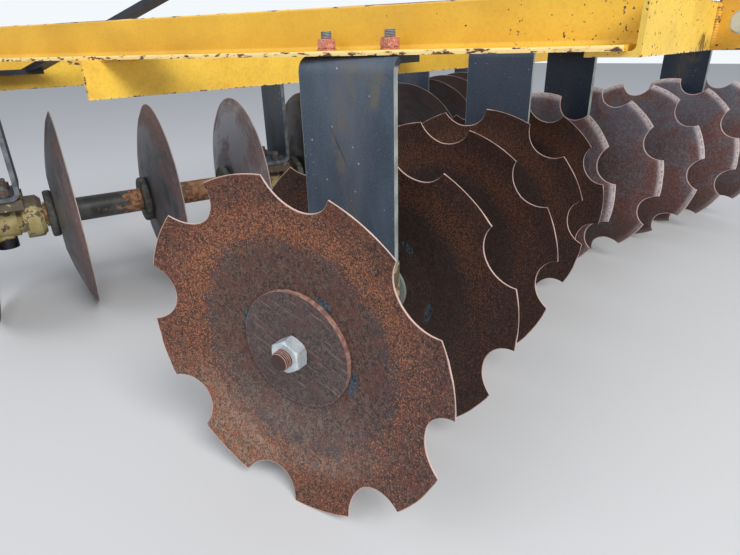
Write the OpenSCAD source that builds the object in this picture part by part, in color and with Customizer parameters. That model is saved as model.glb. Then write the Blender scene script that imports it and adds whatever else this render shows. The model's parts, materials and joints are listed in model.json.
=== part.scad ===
// Tandem disc harrow for a three-point linkage: four gangs of dished blades under an angle-iron frame.
// +X is the machine's right side, +Y the way it travels, +Z up. The blades stand on the plane z = 0.

/* [Blades] */
// Diameter of every blade
blade_d = 500; // [440:5:560]
// Thickness of the blade plate
blade_t = 5; // [4:0.5:7]
// Depth of the dish, from the rim's plane to the flat centre
blade_dish = 38; // [34:1:50]
// Diameter of the flat centre that the washers and spools clamp
blade_flat_d = 190; // [188:1:210]
// Width of the ground bevel on the convex side
bevel_w = 13; // [8:1:20]
// Thickness left at the ground edge
edge_t = 1.6; // [1:0.2:2.6]
// Number of notches round a front blade
notch_count = 8; // [6:1:10]
// Radius of one notch
notch_r = 51; // [40:1:60]
// Depth of a notch at its middle, in from the rim
notch_depth = 38; // [28:1:44]

/* [Gangs] */
// Blades on one gang
blades_per_gang = 5; // [4:1:6]
// Distance from one blade to the next along the axle
blade_spacing = 230; // [220:1:240]
// Angle between a front gang and the line across the machine
front_angle = 11.8; // [8:0.1:15]
// Angle between a rear gang and the line across the machine
rear_angle = 14.7; // [10:0.1:18]
// Distance from the machine's centre to the innermost front rim's centre
front_inner_reach = 90.4; // [88:0.2:110]
// Distance from the machine's centre to the innermost rear rim's centre
rear_inner_reach = 227.1; // [210:0.2:250]
// Distance from the frame's front face back to the outermost front blades
front_gang_back = 295; // [280:1:310]
// Distance from the frame's front face back to the outermost rear blades
rear_gang_back = 1351; // [1330:1:1370]

/* [Axle] */
// Side of the square gang bolt
bolt_side = 28; // [24:1:30]
// Diameter of the bolt's threaded end
thread_d = 25; // [20:1:27]
// Outer diameter of a spool tube
spool_d = 62; // [56:1:68]
// Inner diameter of a spool tube
spool_bore_d = 42; // [41:1:44]
// Diameter of the spool's flange on a blade's convex side
spool_flange_d = 120; // [110:1:140]
// Thickness of that flange
spool_flange_t = 20; // [14:1:22]
// Radius round both edges of that flange
flange_round = 6; // [2:1:8]
// Diameter of the spool's collar on a blade's concave side
spool_collar_d = 97; // [80:1:110]
// Thickness of that collar
spool_collar_t = 7; // [5:1:8]
// Diameter of the journal that turns in a bearing
journal_d = 52; // [48:1:54]
// Diameter of the large end washer on the concave side
washer_d = 176; // [160:1:184]
// Thickness of the end washers
washer_t = 8; // [6:0.5:10]
// Diameter of the end washer on the convex side
back_washer_d = 110; // [90:1:120]
// Size across the flats of the gang bolt's nut
nut_af = 38; // [36:1:41]
// Height of the nut
nut_h = 18; // [14:1:24]
// Length of thread that stands out past the nut
thread_out = 17; // [10:1:30]
// Side of the bolt's square head
head_side = 40; // [36:1:44]
// Height of the bolt's square head
head_h = 16; // [12:1:18]

/* [Bearings and standards] */
// Length of a bearing housing along the axle
housing_l = 72; // [68:1:76]
// Outer diameter of a bearing housing
housing_d = 84; // [78:1:90]
// Height of the saddle's top above the axle
saddle_up = 60; // [52:1:64]
// Depth of the saddle under a standard's foot
saddle_t = 24; // [18:1:24]
// Width of a rear bearing's saddle across the axle
saddle_w = 140; // [100:1:150]
// Diameter of the boss under a housing
boss_d = 50; // [40:1:60]
// How far the boss reaches below the axle
boss_down = 68; // [56:1:80]
// Length of the neck between a housing and its end bell
neck_l = 14; // [8:1:16]
// Diameter of that neck
neck_d = 74; // [70:1:78]
// Length of the end bell
bell_l = 45; // [36:1:46]
// Diameter of the end bell
bell_d = 106; // [96:1:108]
// Chamfer round the bell's outer end
bell_edge = 10; // [4:1:14]
// Radial clearance of a journal in its bearing
journal_gap = 0.08; // [0.04:0.01:0.1]
// Clearance between a housing's end and the spool's shoulder
shoulder_gap = 2; // [1:0.5:3]
// Width of a standard's plate
standard_w = 152; // [140:1:160]
// Thickness of a standard's plate
standard_t = 10; // [8:1:12]
// Inner radius of a standard's bends
standard_bend = 12; // [8:1:16]
// Height of the frame's underside above the ground
frame_z = 619; // [600:1:660]
// Distance along any axle from its convex end's rim to the first bearing
lower_bearing = 64.5; // [62:0.5:67]
// Distance along a front axle from the last rim but one to the second bearing
front_bearing_past = 10; // [8:1:20]
// Distance along a rear axle from the last rim but one to the second bearing
rear_bearing_past = 74; // [60:1:80]
// Distance from the middle of a front bearing to its standard's web
front_web = 36; // [34:1:38]
// Distance from the middle of a rear bearing to its standard's web
rear_web = 54; // [50:1:56]
// Reach of a front standard's flanges
front_reach = 72; // [68:1:76]
// Width of a front standard's foot, narrow enough to stay inside the next blade's dish
front_foot_w = 84; // [84:1:100]
// Reach of a rear standard's top flange
rear_reach = 124; // [118:1:128]
// Reach of a rear standard's bottom flange
rear_foot_reach = 102; // [96:1:106]

/* [Frame] */
// Leg of the angle iron
angle_leg = 62; // [58:1:66]
// Thickness of the angle iron
angle_t = 6.4; // [5:0.1:8]
// Leg of the rear cross angle
rear_leg = 72; // [66:1:76]
// Angle between the rails and the fore and aft line
rail_angle = 18; // [16:0.5:19]
// How far the front cross angle ends inside the toe of the side rail
cross_short = 8; // [4:1:20]
// Gap between a rail's front end and the front cross angle's upright leg
rail_short = 9; // [8:1:14]
// Distance from the frame's front face to the middle cross angle
mid_cross_back = 769; // [740:1:790]
// Distance from the frame's front face to the rear cross angle
rear_cross_back = 1426; // [1424:1:1436]
// How far the middle cross angle runs past the rail's toe
mid_cross_past = 31; // [10:1:40]
// How far the rear cross angle runs past the rail's toe
rear_cross_past = 16; // [5:1:30]

/* [Hitch] */
// Distance between the shoulders of the two lower hitch pins
shoulder_w = 825; // [815:1:835]
// Diameter of a lower hitch pin
pin_d = 28; // [22:1:28.5]
// Free length of a lower hitch pin
pin_free = 80; // [70:1:90]
// Diameter of the pin's shank in the hitch plate
pin_shank_d = 24; // [20:1:25]
// Diameter of the collar that a tractor's link rests against
pin_collar_d = 34; // [32:1:40]
// Thickness of that collar
pin_collar_t = 3; // [2:0.5:6]
// Chamfer at the pin's end
pin_edge = 2; // [1:0.5:3]
// Distance of the pins ahead of the frame's front face
pin_ahead = 47; // [44:1:56]
// Height of the pins above the frame's underside
pin_up = 28; // [24:1:34]
// How far a hitch plate runs ahead of its pin
plate_past = 40; // [30:1:44]
// Height of a hitch plate
plate_h = 150; // [130:1:170]
// Radius of a hitch plate's front corners
plate_round = 30; // [10:1:36]
// Height of the top link's hole above the lower pins
mast_h = 610; // [560:5:640]
// Diameter of the top link's hole
top_hole_d = 25.7; // [19.3:0.1:25.9]
// Gap between the mast bars for the top link
top_gap = 52; // [46:1:56]
// Thickness of the hitch plates and the mast bars
hitch_t = 12; // [10:1:14]
// Width of the mast bars
mast_w = 76; // [64:1:80]
// Height of a mast bar's foot above the lower pins
mast_foot_up = 40; // [30:1:60]
// Length of a mast bar's upright head below the top link's hole
mast_head_l = 105; // [90:1:130]
// How far a mast bar runs past the top link's hole
mast_past = 34; // [26:1:40]
// Distance from the top link's hole down to the braces' bolt
brace_bolt_down = 45; // [40:1:60]
// Diameter of the braces' bolt
brace_bolt_d = 20; // [16:1:22]
// Length of a brace's flat foot
brace_foot_l = 120; // [100:1:130]
// Width of a brace
brace_w = 50; // [44:1:56]
// Thickness of a brace
brace_t = 12; // [10:1:16]
// Distance of a brace's foot from the machine's centre
brace_foot_x = 883; // [850:1:900]
// Distance from the frame's top of the rear cross angle down to the brace's foot
brace_drop = 30; // [26:1:40]

/* [Hidden] */
$fn = 96;

blade_r = blade_d / 2;
flat_r = blade_flat_d / 2;
axle_z = blade_r;
last = blades_per_gang - 1;
gang_l = last * blade_spacing;

// The dish is a sphere about the axis that runs from the flat's edge to the rim
dish_rise = (blade_r * blade_r - flat_r * flat_r - blade_dish * blade_dish) / (2 * blade_dish);
dish_r = sqrt(dish_rise * dish_rise + blade_r * blade_r);

// The plan is centred between the hitch plates' tips and the rearmost blades' edges
plate_ahead = pin_ahead + plate_past;
front_half_w = front_inner_reach + gang_l * cos(front_angle);
rear_half_w = rear_inner_reach + gang_l * cos(rear_angle);
front_y = (rear_gang_back + blade_r * cos(rear_angle) - plate_ahead) / 2;
front_gang_y = front_y - front_gang_back;
rear_gang_y = front_y - rear_gang_back;
mid_cross_y = front_y - mid_cross_back;
rear_cross_y = front_y - rear_cross_back;

// Places along an axle, measured from the rim of the blade at its convex end
front_bearing_reach = (last - 1) * blade_spacing + front_bearing_past;
rear_bearing_reach = (last - 1) * blade_spacing + rear_bearing_past;
housing_top = axle_z + saddle_up;
bolt_clear = 0.5;
hole_side = bolt_side + 2 * bolt_clear;
thread_gap = 0.2;
notch_centre = blade_r - notch_depth + notch_r;

// How far each front blade is turned on its axle, from the innermost out, on the right and on the left
notch_turns = [[24.1, 6.5, 39.4, 25.8, 34.0, 12], [20.8, 27.5, 44.6, 29.5, 34.8, 12]];

// Centres of the front standards' webs, in plan
outer_web_s = gang_l - front_bearing_reach - front_web;
inner_web_s = gang_l - lower_bearing - front_web;
outer_web = [front_half_w - outer_web_s * cos(front_angle), front_gang_y - outer_web_s * sin(front_angle)];
inner_web = [front_half_w - inner_web_s * cos(front_angle), front_gang_y - inner_web_s * sin(front_angle)];

angle_root = 6;
angle_toe = angle_t / 2;
rail_end_y = rear_cross_y - rear_leg;
pin_y = front_y + pin_ahead;
pin_z = frame_z + pin_up;
top_z = pin_z + mast_h;
plate_x = shoulder_w / 2 - pin_collar_t - hitch_t;
pin_relief = 1;
pin_gap = 0.2;
mast_foot_z = pin_z + mast_foot_up;
mast_lean_z = frame_z - angle_t + plate_h;
mast_knee_z = top_z - mast_head_l;
brace_pin_z = top_z - brace_bolt_down;
brace_bolt_gap = 0.4;

function rail_x(web, y) = web[0] + (web[1] - y) * tan(rail_angle);

front_cross_half = rail_x(outer_web, front_y) - cross_short;

module angle_profile(leg, t) {
    difference() {
        union() {
            square([leg, t]);
            square([t, leg]);
            square([t + angle_root, t + angle_root]);
        }
        translate([t + angle_root, t + angle_root]) circle(angle_root);
        translate([leg - angle_toe, t - angle_toe]) square(angle_toe + 1);
        translate([t - angle_toe, leg - angle_toe]) square(angle_toe + 1);
    }
    translate([leg - angle_toe, t - angle_toe]) circle(angle_toe);
    translate([t - angle_toe, leg - angle_toe]) circle(angle_toe);
}

module cross_angle(half_l, leg) {
    translate([-half_l, 0, 0])
        rotate([90, 0, 90])
            linear_extrude(2 * half_l) mirror([1, 0]) angle_profile(leg, angle_t);
}

// A rail whose toe passes over the given web, cut square across the machine at both ends
module rail(web) {
    reach = 2 * (front_y - rail_end_y);
    intersection() {
        translate([web[0], web[1], frame_z])
            rotate([0, 0, rail_angle])
                translate([-angle_leg, 0, 0])
                    rotate([90, 0, 0])
                        linear_extrude(reach, center = true) angle_profile(angle_leg, angle_t);
        translate([0, rail_end_y, frame_z - 1])
            cube([2 * rear_half_w, front_y - angle_t - rail_short - rail_end_y, angle_leg + 2]);
    }
}

module on_side(side) {
    mirror([side < 0 ? 1 : 0, 0, 0]) children();
}

// Gang frames: +X runs along the axle the way the blades' hollow sides face, from the convex end's rim
module at_front(side) {
    on_side(side)
        translate([front_half_w, front_gang_y, 0])
            rotate([0, 0, front_angle])
                translate([-gang_l, 0, 0]) children();
}

module at_rear(side) {
    on_side(side)
        translate([rear_half_w, rear_gang_y, 0])
            rotate([0, 0, 180 - rear_angle]) children();
}

module along_axle(x) {
    translate([x, 0, axle_z]) rotate([0, 90, 0]) children();
}

module blade_profile() {
    difference() {
        intersection() {
            translate([0, dish_rise]) difference() {
                circle(dish_r + blade_t, $fn = 360);
                circle(dish_r, $fn = 360);
            }
            translate([flat_r - 2, -blade_dish - 2 * blade_t])
                square([blade_r - flat_r + 2, blade_dish + 2 * blade_t]);
        }
        bevel_section();
    }
    translate([bolt_side / 2, -blade_dish - blade_t]) square([flat_r - bolt_side / 2, blade_t]);
}

// The wedge that grinding takes off the convex side at the rim
module bevel_section() {
    rim_slope = asin(blade_r / dish_r);
    translate([blade_r, 0])
        rotate(rim_slope)
            polygon([
                [2, -edge_t],
                [-bevel_w, -blade_t - 0.2],
                [-bevel_w, -3 * blade_t],
                [12, -3 * blade_t],
                [12, -edge_t]
            ]);
}

module blade(notched, turn) {
    difference() {
        rotate([0, 0, turn])
            difference() {
                rotate_extrude($fn = 120) blade_profile();
                if (notched)
                    for (i = [0 : notch_count - 1])
                        rotate([0, 0, i * 360 / notch_count])
                            translate([notch_centre, 0, -blade_dish])
                                cylinder(h = 2 * blade_dish, r = notch_r);
            }
        translate([0, 0, -blade_dish - blade_t / 2])
            cube([hole_side, hole_side, 3 * blade_t], center = true);
    }
}

module notched_blades(turns) {
    for (k = [0 : last])
        along_axle(k * blade_spacing) blade(true, turns[k]);
}

module smooth_blades() {
    for (k = [0 : last])
        along_axle(k * blade_spacing) blade(false, 0);
}

// How far a bearing reaches from its middle on the side where its bell is, and on the other side
function bearing_run(belled) = housing_l / 2 + shoulder_gap + (belled ? neck_l + bell_l : 0);

// One tube from a blade's hollow face to the next blade's back
module plain_spool(low, high) {
    difference() {
        spool_body(low, high);
        spool_bore(low, high);
    }
}

// The same with a journal where a bearing sits, whose bell reaches ahead (1) or back (-1) along the axle
module journal_spool(low, high, bearing, bell) {
    difference() {
        union() {
            difference() {
                spool_body(low, high);
                translate([0, 0, bearing - bearing_run(bell < 0)])
                    cylinder(h = bearing_run(bell < 0) + bearing_run(bell > 0), d = 2 * spool_d);
            }
            translate([0, 0, low]) cylinder(h = high - low, d = journal_d);
        }
        spool_bore(low, high);
    }
}

module spool_body(low, high) {
    translate([0, 0, low]) cylinder(h = high - low, d = spool_d);
    translate([0, 0, low]) cylinder(h = spool_collar_t, d = spool_collar_d);
    translate([0, 0, high - spool_flange_t]) spool_flange();
}

module spool_flange() {
    edge = spool_flange_d / 2 - flange_round;
    rotate_extrude() {
        square([edge, spool_flange_t]);
        translate([0, flange_round]) square([spool_flange_d / 2, spool_flange_t - 2 * flange_round]);
        translate([edge, flange_round]) circle(flange_round, $fn = 32);
        translate([edge, spool_flange_t - flange_round]) circle(flange_round, $fn = 32);
    }
}

module spool_bore(low, high) {
    translate([0, 0, low - 1]) cylinder(h = high - low + 2, d = spool_bore_d);
}

module spools(upper_bearing, upper_bell) {
    for (k = [0 : last - 1]) {
        low = k * blade_spacing - blade_dish;
        high = low + blade_spacing - blade_t;
        along_axle(0) {
            if (k == 0)
                journal_spool(low, high, lower_bearing, 1);
            else if (k == last - 1)
                journal_spool(low, high, upper_bearing, upper_bell);
            else
                plain_spool(low, high);
        }
    }
}

module gang_bolt() {
    back = -blade_dish - blade_t - washer_t;
    face = gang_l - blade_dish + washer_t;
    along_axle(0) {
        translate([0, 0, back - head_h / 2]) cube([head_side, head_side, head_h], center = true);
        translate([-bolt_side / 2, -bolt_side / 2, back - 1]) cube([bolt_side, bolt_side, face - back - 1]);
        translate([0, 0, face - 3]) cylinder(h = nut_h + thread_out + 3, d = thread_d);
    }
}

module end_washers() {
    along_axle(-blade_dish - blade_t - washer_t)
        difference() {
            cylinder(h = washer_t, d = back_washer_d);
            cube([hole_side, hole_side, 3 * washer_t], center = true);
        }
    along_axle(gang_l - blade_dish)
        difference() {
            cylinder(h = washer_t, d = washer_d);
            cube([hole_side, hole_side, 3 * washer_t], center = true);
        }
}

module gang_nut() {
    along_axle(gang_l - blade_dish + washer_t)
        difference() {
            cylinder(h = nut_h, d = nut_af / cos(30), $fn = 6);
            translate([0, 0, -1]) cylinder(h = nut_h + 2, d = thread_d + thread_gap);
        }
}

// A plate bent to a C: its web stands at x = 0 and its flanges reach towards -X
module standard(top_reach, foot_reach, foot_w) {
    h = frame_z - housing_top;
    bend = standard_bend + standard_t;
    side_cut = (standard_w - foot_w) / 2;
    translate([0, 0, housing_top])
        difference() {
            translate([0, standard_w / 2, 0])
                rotate([90, 0, 0])
                    linear_extrude(standard_w) {
                        translate([-standard_t, bend]) square([standard_t, h - 2 * bend]);
                        translate([-foot_reach, 0]) square([foot_reach - bend, standard_t]);
                        translate([-top_reach, h - standard_t]) square([top_reach - bend, standard_t]);
                        translate([-bend, bend]) bend_section(-90);
                        translate([-bend, h - bend]) bend_section(0);
                    }
            if (side_cut > 0)
                for (end = [-1, 1])
                    translate([-foot_reach - 1, end * (foot_w / 2 + side_cut) - side_cut, -1])
                        cube([foot_reach + 2, 2 * side_cut, bend + 1]);
        }
}

module bend_section(turn) {
    rotate(turn)
        intersection() {
            difference() {
                circle(standard_bend + standard_t);
                circle(standard_bend);
            }
            square(standard_bend + standard_t);
        }
}

// A cast housing with a flat saddle for the standard's foot, a boss below and a bell over one end
module bearing_housing(bell, saddle_l, saddle_w) {
    difference() {
        union() {
            rotate([0, 90, 0]) cylinder(h = housing_l, d = housing_d, center = true);
            translate([-housing_l / 2, -housing_d / 2, 0]) cube([housing_l, housing_d, saddle_up]);
            translate([-housing_l / 2, -saddle_w / 2, saddle_up - saddle_t])
                cube([saddle_l, saddle_w, saddle_t]);
            translate([0, 0, -boss_down]) cylinder(h = boss_down, d = boss_d);
            rotate([0, 90 * bell, 0])
                rotate_extrude()
                    polygon([
                        [journal_d / 2, housing_l / 2 - 1],
                        [neck_d / 2, housing_l / 2 - 1],
                        [neck_d / 2, housing_l / 2 + neck_l],
                        [bell_d / 2, housing_l / 2 + neck_l],
                        [bell_d / 2, housing_l / 2 + neck_l + bell_l - bell_edge],
                        [bell_d / 2 - bell_edge, housing_l / 2 + neck_l + bell_l],
                        [journal_d / 2, housing_l / 2 + neck_l + bell_l]
                    ]);
        }
        rotate([0, 90, 0]) cylinder(h = 4 * housing_l, d = journal_d + 2 * journal_gap, center = true);
    }
}

module bearings(upper_bearing, upper_bell, saddle_l, saddle_w) {
    translate([lower_bearing, 0, axle_z]) bearing_housing(1, saddle_l, saddle_w);
    translate([upper_bearing, 0, axle_z]) bearing_housing(upper_bell, saddle_l, saddle_w);
}

module standards(upper_bearing, web, top_reach, foot_reach, foot_w) {
    for (x = [lower_bearing, upper_bearing])
        translate([x + web + standard_t / 2, 0, 0]) standard(top_reach, foot_reach, foot_w);
}

module hitch_plate(side) {
    color("gold")
        on_side(side)
            difference() {
                translate([plate_x, 0, 0])
                    rotate([90, 0, 90])
                        linear_extrude(hitch_t) plate_outline();
                translate([plate_x - 1, pin_y, pin_z])
                    rotate([0, 90, 0])
                        cylinder(h = hitch_t + 2, d = pin_shank_d + pin_gap);
            }
}

// Side view of a hitch plate, with its two front corners rounded
module plate_outline() {
    low = frame_z - angle_t;
    nose = front_y + plate_ahead;
    translate([front_y, low]) square([plate_ahead - plate_round, plate_h]);
    translate([front_y, low + plate_round]) square([plate_ahead, plate_h - 2 * plate_round]);
    translate([nose - plate_round, low + plate_round]) circle(plate_round);
    translate([nose - plate_round, low + plate_h - plate_round]) circle(plate_round);
}

// A turned pin: head inside the plate, shank through it, collar outside, then the free part for a link's ball
module hitch_pin(side) {
    head_l = 10;
    face = hitch_t + pin_collar_t;
    color("lightgray")
        on_side(side)
            translate([plate_x, pin_y, pin_z])
                rotate([0, 90, 0]) {
                    translate([0, 0, -head_l]) cylinder(h = head_l, d = 1.5 * pin_d);
                    cylinder(h = face + pin_relief, d = pin_shank_d);
                    translate([0, 0, hitch_t]) cylinder(h = pin_collar_t, d = pin_collar_d);
                    translate([0, 0, face + pin_relief])
                        cylinder(h = pin_free - pin_relief - pin_edge, d = pin_d);
                    translate([0, 0, face + pin_free - pin_edge])
                        cylinder(h = pin_edge, d1 = pin_d, d2 = pin_d - 2 * pin_edge);
                }
}

// A flat bar that stands beside the hitch plate, leans in, and stands again at the top link
module mast_bar(side) {
    foot_x = plate_x - hitch_t;
    head_x = top_gap / 2;
    color("dimgray")
        on_side(side)
            difference() {
                translate([0, pin_y + mast_w / 2, 0])
                    rotate([90, 0, 0])
                        linear_extrude(mast_w)
                            polygon([
                                [foot_x, mast_foot_z],
                                [foot_x + hitch_t, mast_foot_z],
                                [foot_x + hitch_t, mast_lean_z],
                                [head_x + hitch_t, mast_knee_z],
                                [head_x + hitch_t, top_z + mast_past],
                                [head_x, top_z + mast_past],
                                [head_x, mast_knee_z - hitch_t / 2],
                                [foot_x, mast_lean_z - hitch_t / 2]
                            ]);
                across_mast(top_z, top_hole_d);
                across_mast(brace_pin_z, brace_bolt_d + brace_bolt_gap);
            }
}

module across_mast(z, d) {
    translate([0, pin_y, z]) rotate([0, 90, 0]) cylinder(h = 4 * top_gap, d = d, center = true);
}

module top_bolt() {
    grip = top_gap / 2 + hitch_t + brace_t;
    head_l = 12;
    color("lightgray")
        translate([0, pin_y, brace_pin_z])
            rotate([0, 90, 0]) {
                cylinder(h = 2 * grip, d = brace_bolt_d, center = true);
                for (end = [-1, 1])
                    translate([0, 0, end * (grip + head_l / 2)])
                        cylinder(h = head_l, d = 1.7 * brace_bolt_d, $fn = 6, center = true);
            }
}

// A flat bar from the mast's head down to a foot bent flat in front of the rear cross angle
module brace(side) {
    head = [top_gap / 2 + hitch_t + brace_t / 2, pin_y, brace_pin_z];
    foot = [brace_foot_x, rear_cross_y + brace_w / 2, frame_z - brace_drop];
    run = foot - head;
    plan = norm([run[0], run[1]]);
    color("dimgray")
        on_side(side)
            difference() {
                union() {
                    translate(head) rotate([0, 90, 0]) cylinder(h = brace_t, d = brace_w, center = true);
                    translate(head)
                        rotate([0, atan2(-run[2], plan), atan2(run[1], run[0])])
                            translate([0, -brace_w / 2, -brace_t / 2]) cube([norm(run), brace_w, brace_t]);
                    translate([foot[0] - brace_w / 2, rear_cross_y, foot[2] - brace_t / 2])
                        cube([brace_foot_l, brace_w, brace_t]);
                }
                across_mast(brace_pin_z, brace_bolt_d + brace_bolt_gap);
                translate([top_gap / 2 + hitch_t + brace_t, pin_y, brace_pin_z])
                    rotate([0, 90, 0])
                        cylinder(h = brace_w, d = 2.1 * brace_bolt_d);
                translate([-mast_w, pin_y - 2 * mast_w, brace_pin_z - 2 * mast_w])
                    cube([mast_w + top_gap / 2 + hitch_t, 4 * mast_w, 4 * mast_w]);
                translate([0, rear_cross_y - 2 * rear_leg, frame_z - 2 * rear_leg])
                    cube([2 * rear_half_w, 2 * rear_leg, 4 * rear_leg]);
            }
}

module front_cross() {
    color("gold")
        translate([0, front_y, frame_z - angle_t]) cross_angle(front_cross_half, angle_leg);
}

module mid_cross() {
    color("gold")
        translate([0, mid_cross_y, frame_z])
            mirror([0, 0, 1]) cross_angle(rail_x(outer_web, mid_cross_y) + mid_cross_past, angle_leg);
}

module rear_cross() {
    color("gold")
        translate([0, rear_cross_y, frame_z])
            mirror([0, 0, 1]) cross_angle(rail_x(outer_web, rear_cross_y) + rear_cross_past, rear_leg);
}

module side_rail_right() { color("gold") rail(outer_web); }
module side_rail_left() { color("gold") on_side(-1) rail(outer_web); }
module inner_rail_right() { color("gold") rail(inner_web); }
module inner_rail_left() { color("gold") on_side(-1) rail(inner_web); }

module front_standards(side) {
    color("slategray")
        at_front(side)
            standards(front_bearing_reach, front_web, front_reach, front_reach, front_foot_w);
}

module rear_standards(side) {
    color("slategray")
        at_rear(side)
            standards(rear_bearing_reach, rear_web, rear_reach, rear_foot_reach, standard_w);
}

module front_bearings(side) {
    color("darkkhaki")
        at_front(side) bearings(front_bearing_reach, 1, housing_l, front_foot_w);
}

module rear_bearings(side) {
    color("darkkhaki")
        at_rear(side)
            bearings(rear_bearing_reach, -1, housing_l / 2 + rear_web + standard_t / 2, saddle_w);
}

module front_blades(side) {
    color("saddlebrown")
        at_front(side) notched_blades(notch_turns[side < 0 ? 1 : 0]);
}

module rear_blades(side) { color("rosybrown") at_rear(side) smooth_blades(); }
module front_spools(side) { color("sienna") at_front(side) spools(front_bearing_reach, 1); }
module rear_spools(side) { color("sienna") at_rear(side) spools(rear_bearing_reach, -1); }

front_cross();
mid_cross();
rear_cross();
side_rail_right();
side_rail_left();
inner_rail_right();
inner_rail_left();
hitch_plate(1);  // hitch_plate_right
hitch_plate(-1);  // hitch_plate_left
hitch_pin(1);  // hitch_pin_right
hitch_pin(-1);  // hitch_pin_left
mast_bar(1);  // mast_bar_right
mast_bar(-1);  // mast_bar_left
brace(1);  // brace_right
brace(-1);  // brace_left
top_bolt();
front_standards(1);  // standards_front_right
front_standards(-1);  // standards_front_left
rear_standards(1);  // standards_rear_right
rear_standards(-1);  // standards_rear_left
front_bearings(1);  // bearings_front_right
front_bearings(-1);  // bearings_front_left
rear_bearings(1);  // bearings_rear_right
rear_bearings(-1);  // bearings_rear_left
front_blades(1);  // blades_front_right
front_blades(-1);  // blades_front_left
rear_blades(1);  // blades_rear_right
rear_blades(-1);  // blades_rear_left
front_spools(1);  // spools_front_right
front_spools(-1);  // spools_front_left
rear_spools(1);  // spools_rear_right
rear_spools(-1);  // spools_rear_left
color("dimgray") at_front(1) gang_bolt();  // gang_bolt_front_right
color("dimgray") at_front(-1) gang_bolt();  // gang_bolt_front_left
color("dimgray") at_rear(1) gang_bolt();  // gang_bolt_rear_right
color("dimgray") at_rear(-1) gang_bolt();  // gang_bolt_rear_left
color("sienna") at_front(1) end_washers();  // end_washers_front_right
color("sienna") at_front(-1) end_washers();  // end_washers_front_left
color("sienna") at_rear(1) end_washers();  // end_washers_rear_right
color("sienna") at_rear(-1) end_washers();  // end_washers_rear_left
color("silver") at_front(1) gang_nut();  // gang_nut_front_right
color("silver") at_front(-1) gang_nut();  // gang_nut_front_left
color("silver") at_rear(1) gang_nut();  // gang_nut_rear_right
color("silver") at_rear(-1) gang_nut();  // gang_nut_rear_left
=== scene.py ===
# %% [markdown]
# A used tandem disc harrow, dressed for its picture.
# The packed construction gives every solid at its real size. The harrow could be modelled again from
# nothing, but its looks and its motion would then drift apart. So this lesson keeps those solids and adds
# what the eye sees: finer blades, threads, nuts, weld beads and worn finishes. Lengths are in metres. +X is
# the machine's right side, +Y the way it travels and +Z up.

# %% Load the construction
import json
import math

import bmesh
import bpy
from mathutils import Matrix, Vector


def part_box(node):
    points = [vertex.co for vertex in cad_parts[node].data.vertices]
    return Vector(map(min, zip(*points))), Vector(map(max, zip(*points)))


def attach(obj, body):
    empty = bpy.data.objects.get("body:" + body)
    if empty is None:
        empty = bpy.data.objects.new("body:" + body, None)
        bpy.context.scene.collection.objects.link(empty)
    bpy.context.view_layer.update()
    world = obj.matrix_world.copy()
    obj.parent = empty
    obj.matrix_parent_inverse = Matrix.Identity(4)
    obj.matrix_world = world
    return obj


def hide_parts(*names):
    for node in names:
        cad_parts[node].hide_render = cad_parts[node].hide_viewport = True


UP = Vector((0, 0, 1))
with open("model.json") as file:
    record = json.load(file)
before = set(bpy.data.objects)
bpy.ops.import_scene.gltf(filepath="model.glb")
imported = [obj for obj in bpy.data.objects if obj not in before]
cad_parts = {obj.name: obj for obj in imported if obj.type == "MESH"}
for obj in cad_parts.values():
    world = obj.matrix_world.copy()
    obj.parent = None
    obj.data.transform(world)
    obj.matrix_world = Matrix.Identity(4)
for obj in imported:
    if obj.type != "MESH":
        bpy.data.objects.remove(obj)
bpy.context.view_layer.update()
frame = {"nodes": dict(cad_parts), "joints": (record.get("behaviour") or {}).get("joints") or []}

# %% [markdown]
# The picture is taken from outside the right front corner, looking back along the front gang. A camera can
# be placed by eye, but a measured one puts every edge where it belongs. This one is three unit vectors and
# a lens. Its heading and dip come from where the horizon and the long rails lie in the picture, and its
# roll from the slope of the horizon.

# %% Camera
CAMERA_AT = Vector((1.33725, 0.9579, 0.63325))
HEADING = Vector((-0.7231, -0.6907, 0.0)).normalized()
DIP = math.radians(23.976)
ROLL = math.radians(1.526)
LENS = 25.595
SENSOR = 36.0


def add_object(name, data):
    """A new object in the scene, at the origin."""
    made = bpy.data.objects.new(name, data)
    bpy.context.scene.collection.objects.link(made)
    return made


def place_camera():
    level_right = HEADING.cross(UP)
    ahead = math.cos(DIP) * HEADING - math.sin(DIP) * UP
    level_up = level_right.cross(ahead)
    right = math.cos(ROLL) * level_right - math.sin(ROLL) * level_up
    up = math.sin(ROLL) * level_right + math.cos(ROLL) * level_up
    lens = bpy.data.cameras.new("camera")
    lens.lens = LENS
    lens.sensor_width = SENSOR
    lens.clip_start = 0.01
    camera = add_object("camera", lens)
    turn = Matrix((right, up, -ahead)).transposed()
    camera.matrix_world = Matrix.Translation(CAMERA_AT) @ turn.to_4x4()
    bpy.context.scene.camera = camera
    print("camera looks along", tuple(round(x, 3) for x in ahead))


place_camera()

# %% [markdown]
# Shader and geometry maths could be laid out node by node, but a formula is easier to read. Field wraps one
# output socket. A sum, product or comparison written on it adds the Math node that works it out.

# %% Sockets that can be added and multiplied
def of_one(operation):
    """A method that puts a socket through one Math node."""
    return lambda field: field.calculate(operation, field)


def of_two(operation, swapped=False):
    """A method that puts a socket and another value through one Math node."""
    if swapped:
        return lambda field, other: field.calculate(operation, other, field)
    return lambda field, other: field.calculate(operation, field, other)


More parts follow.
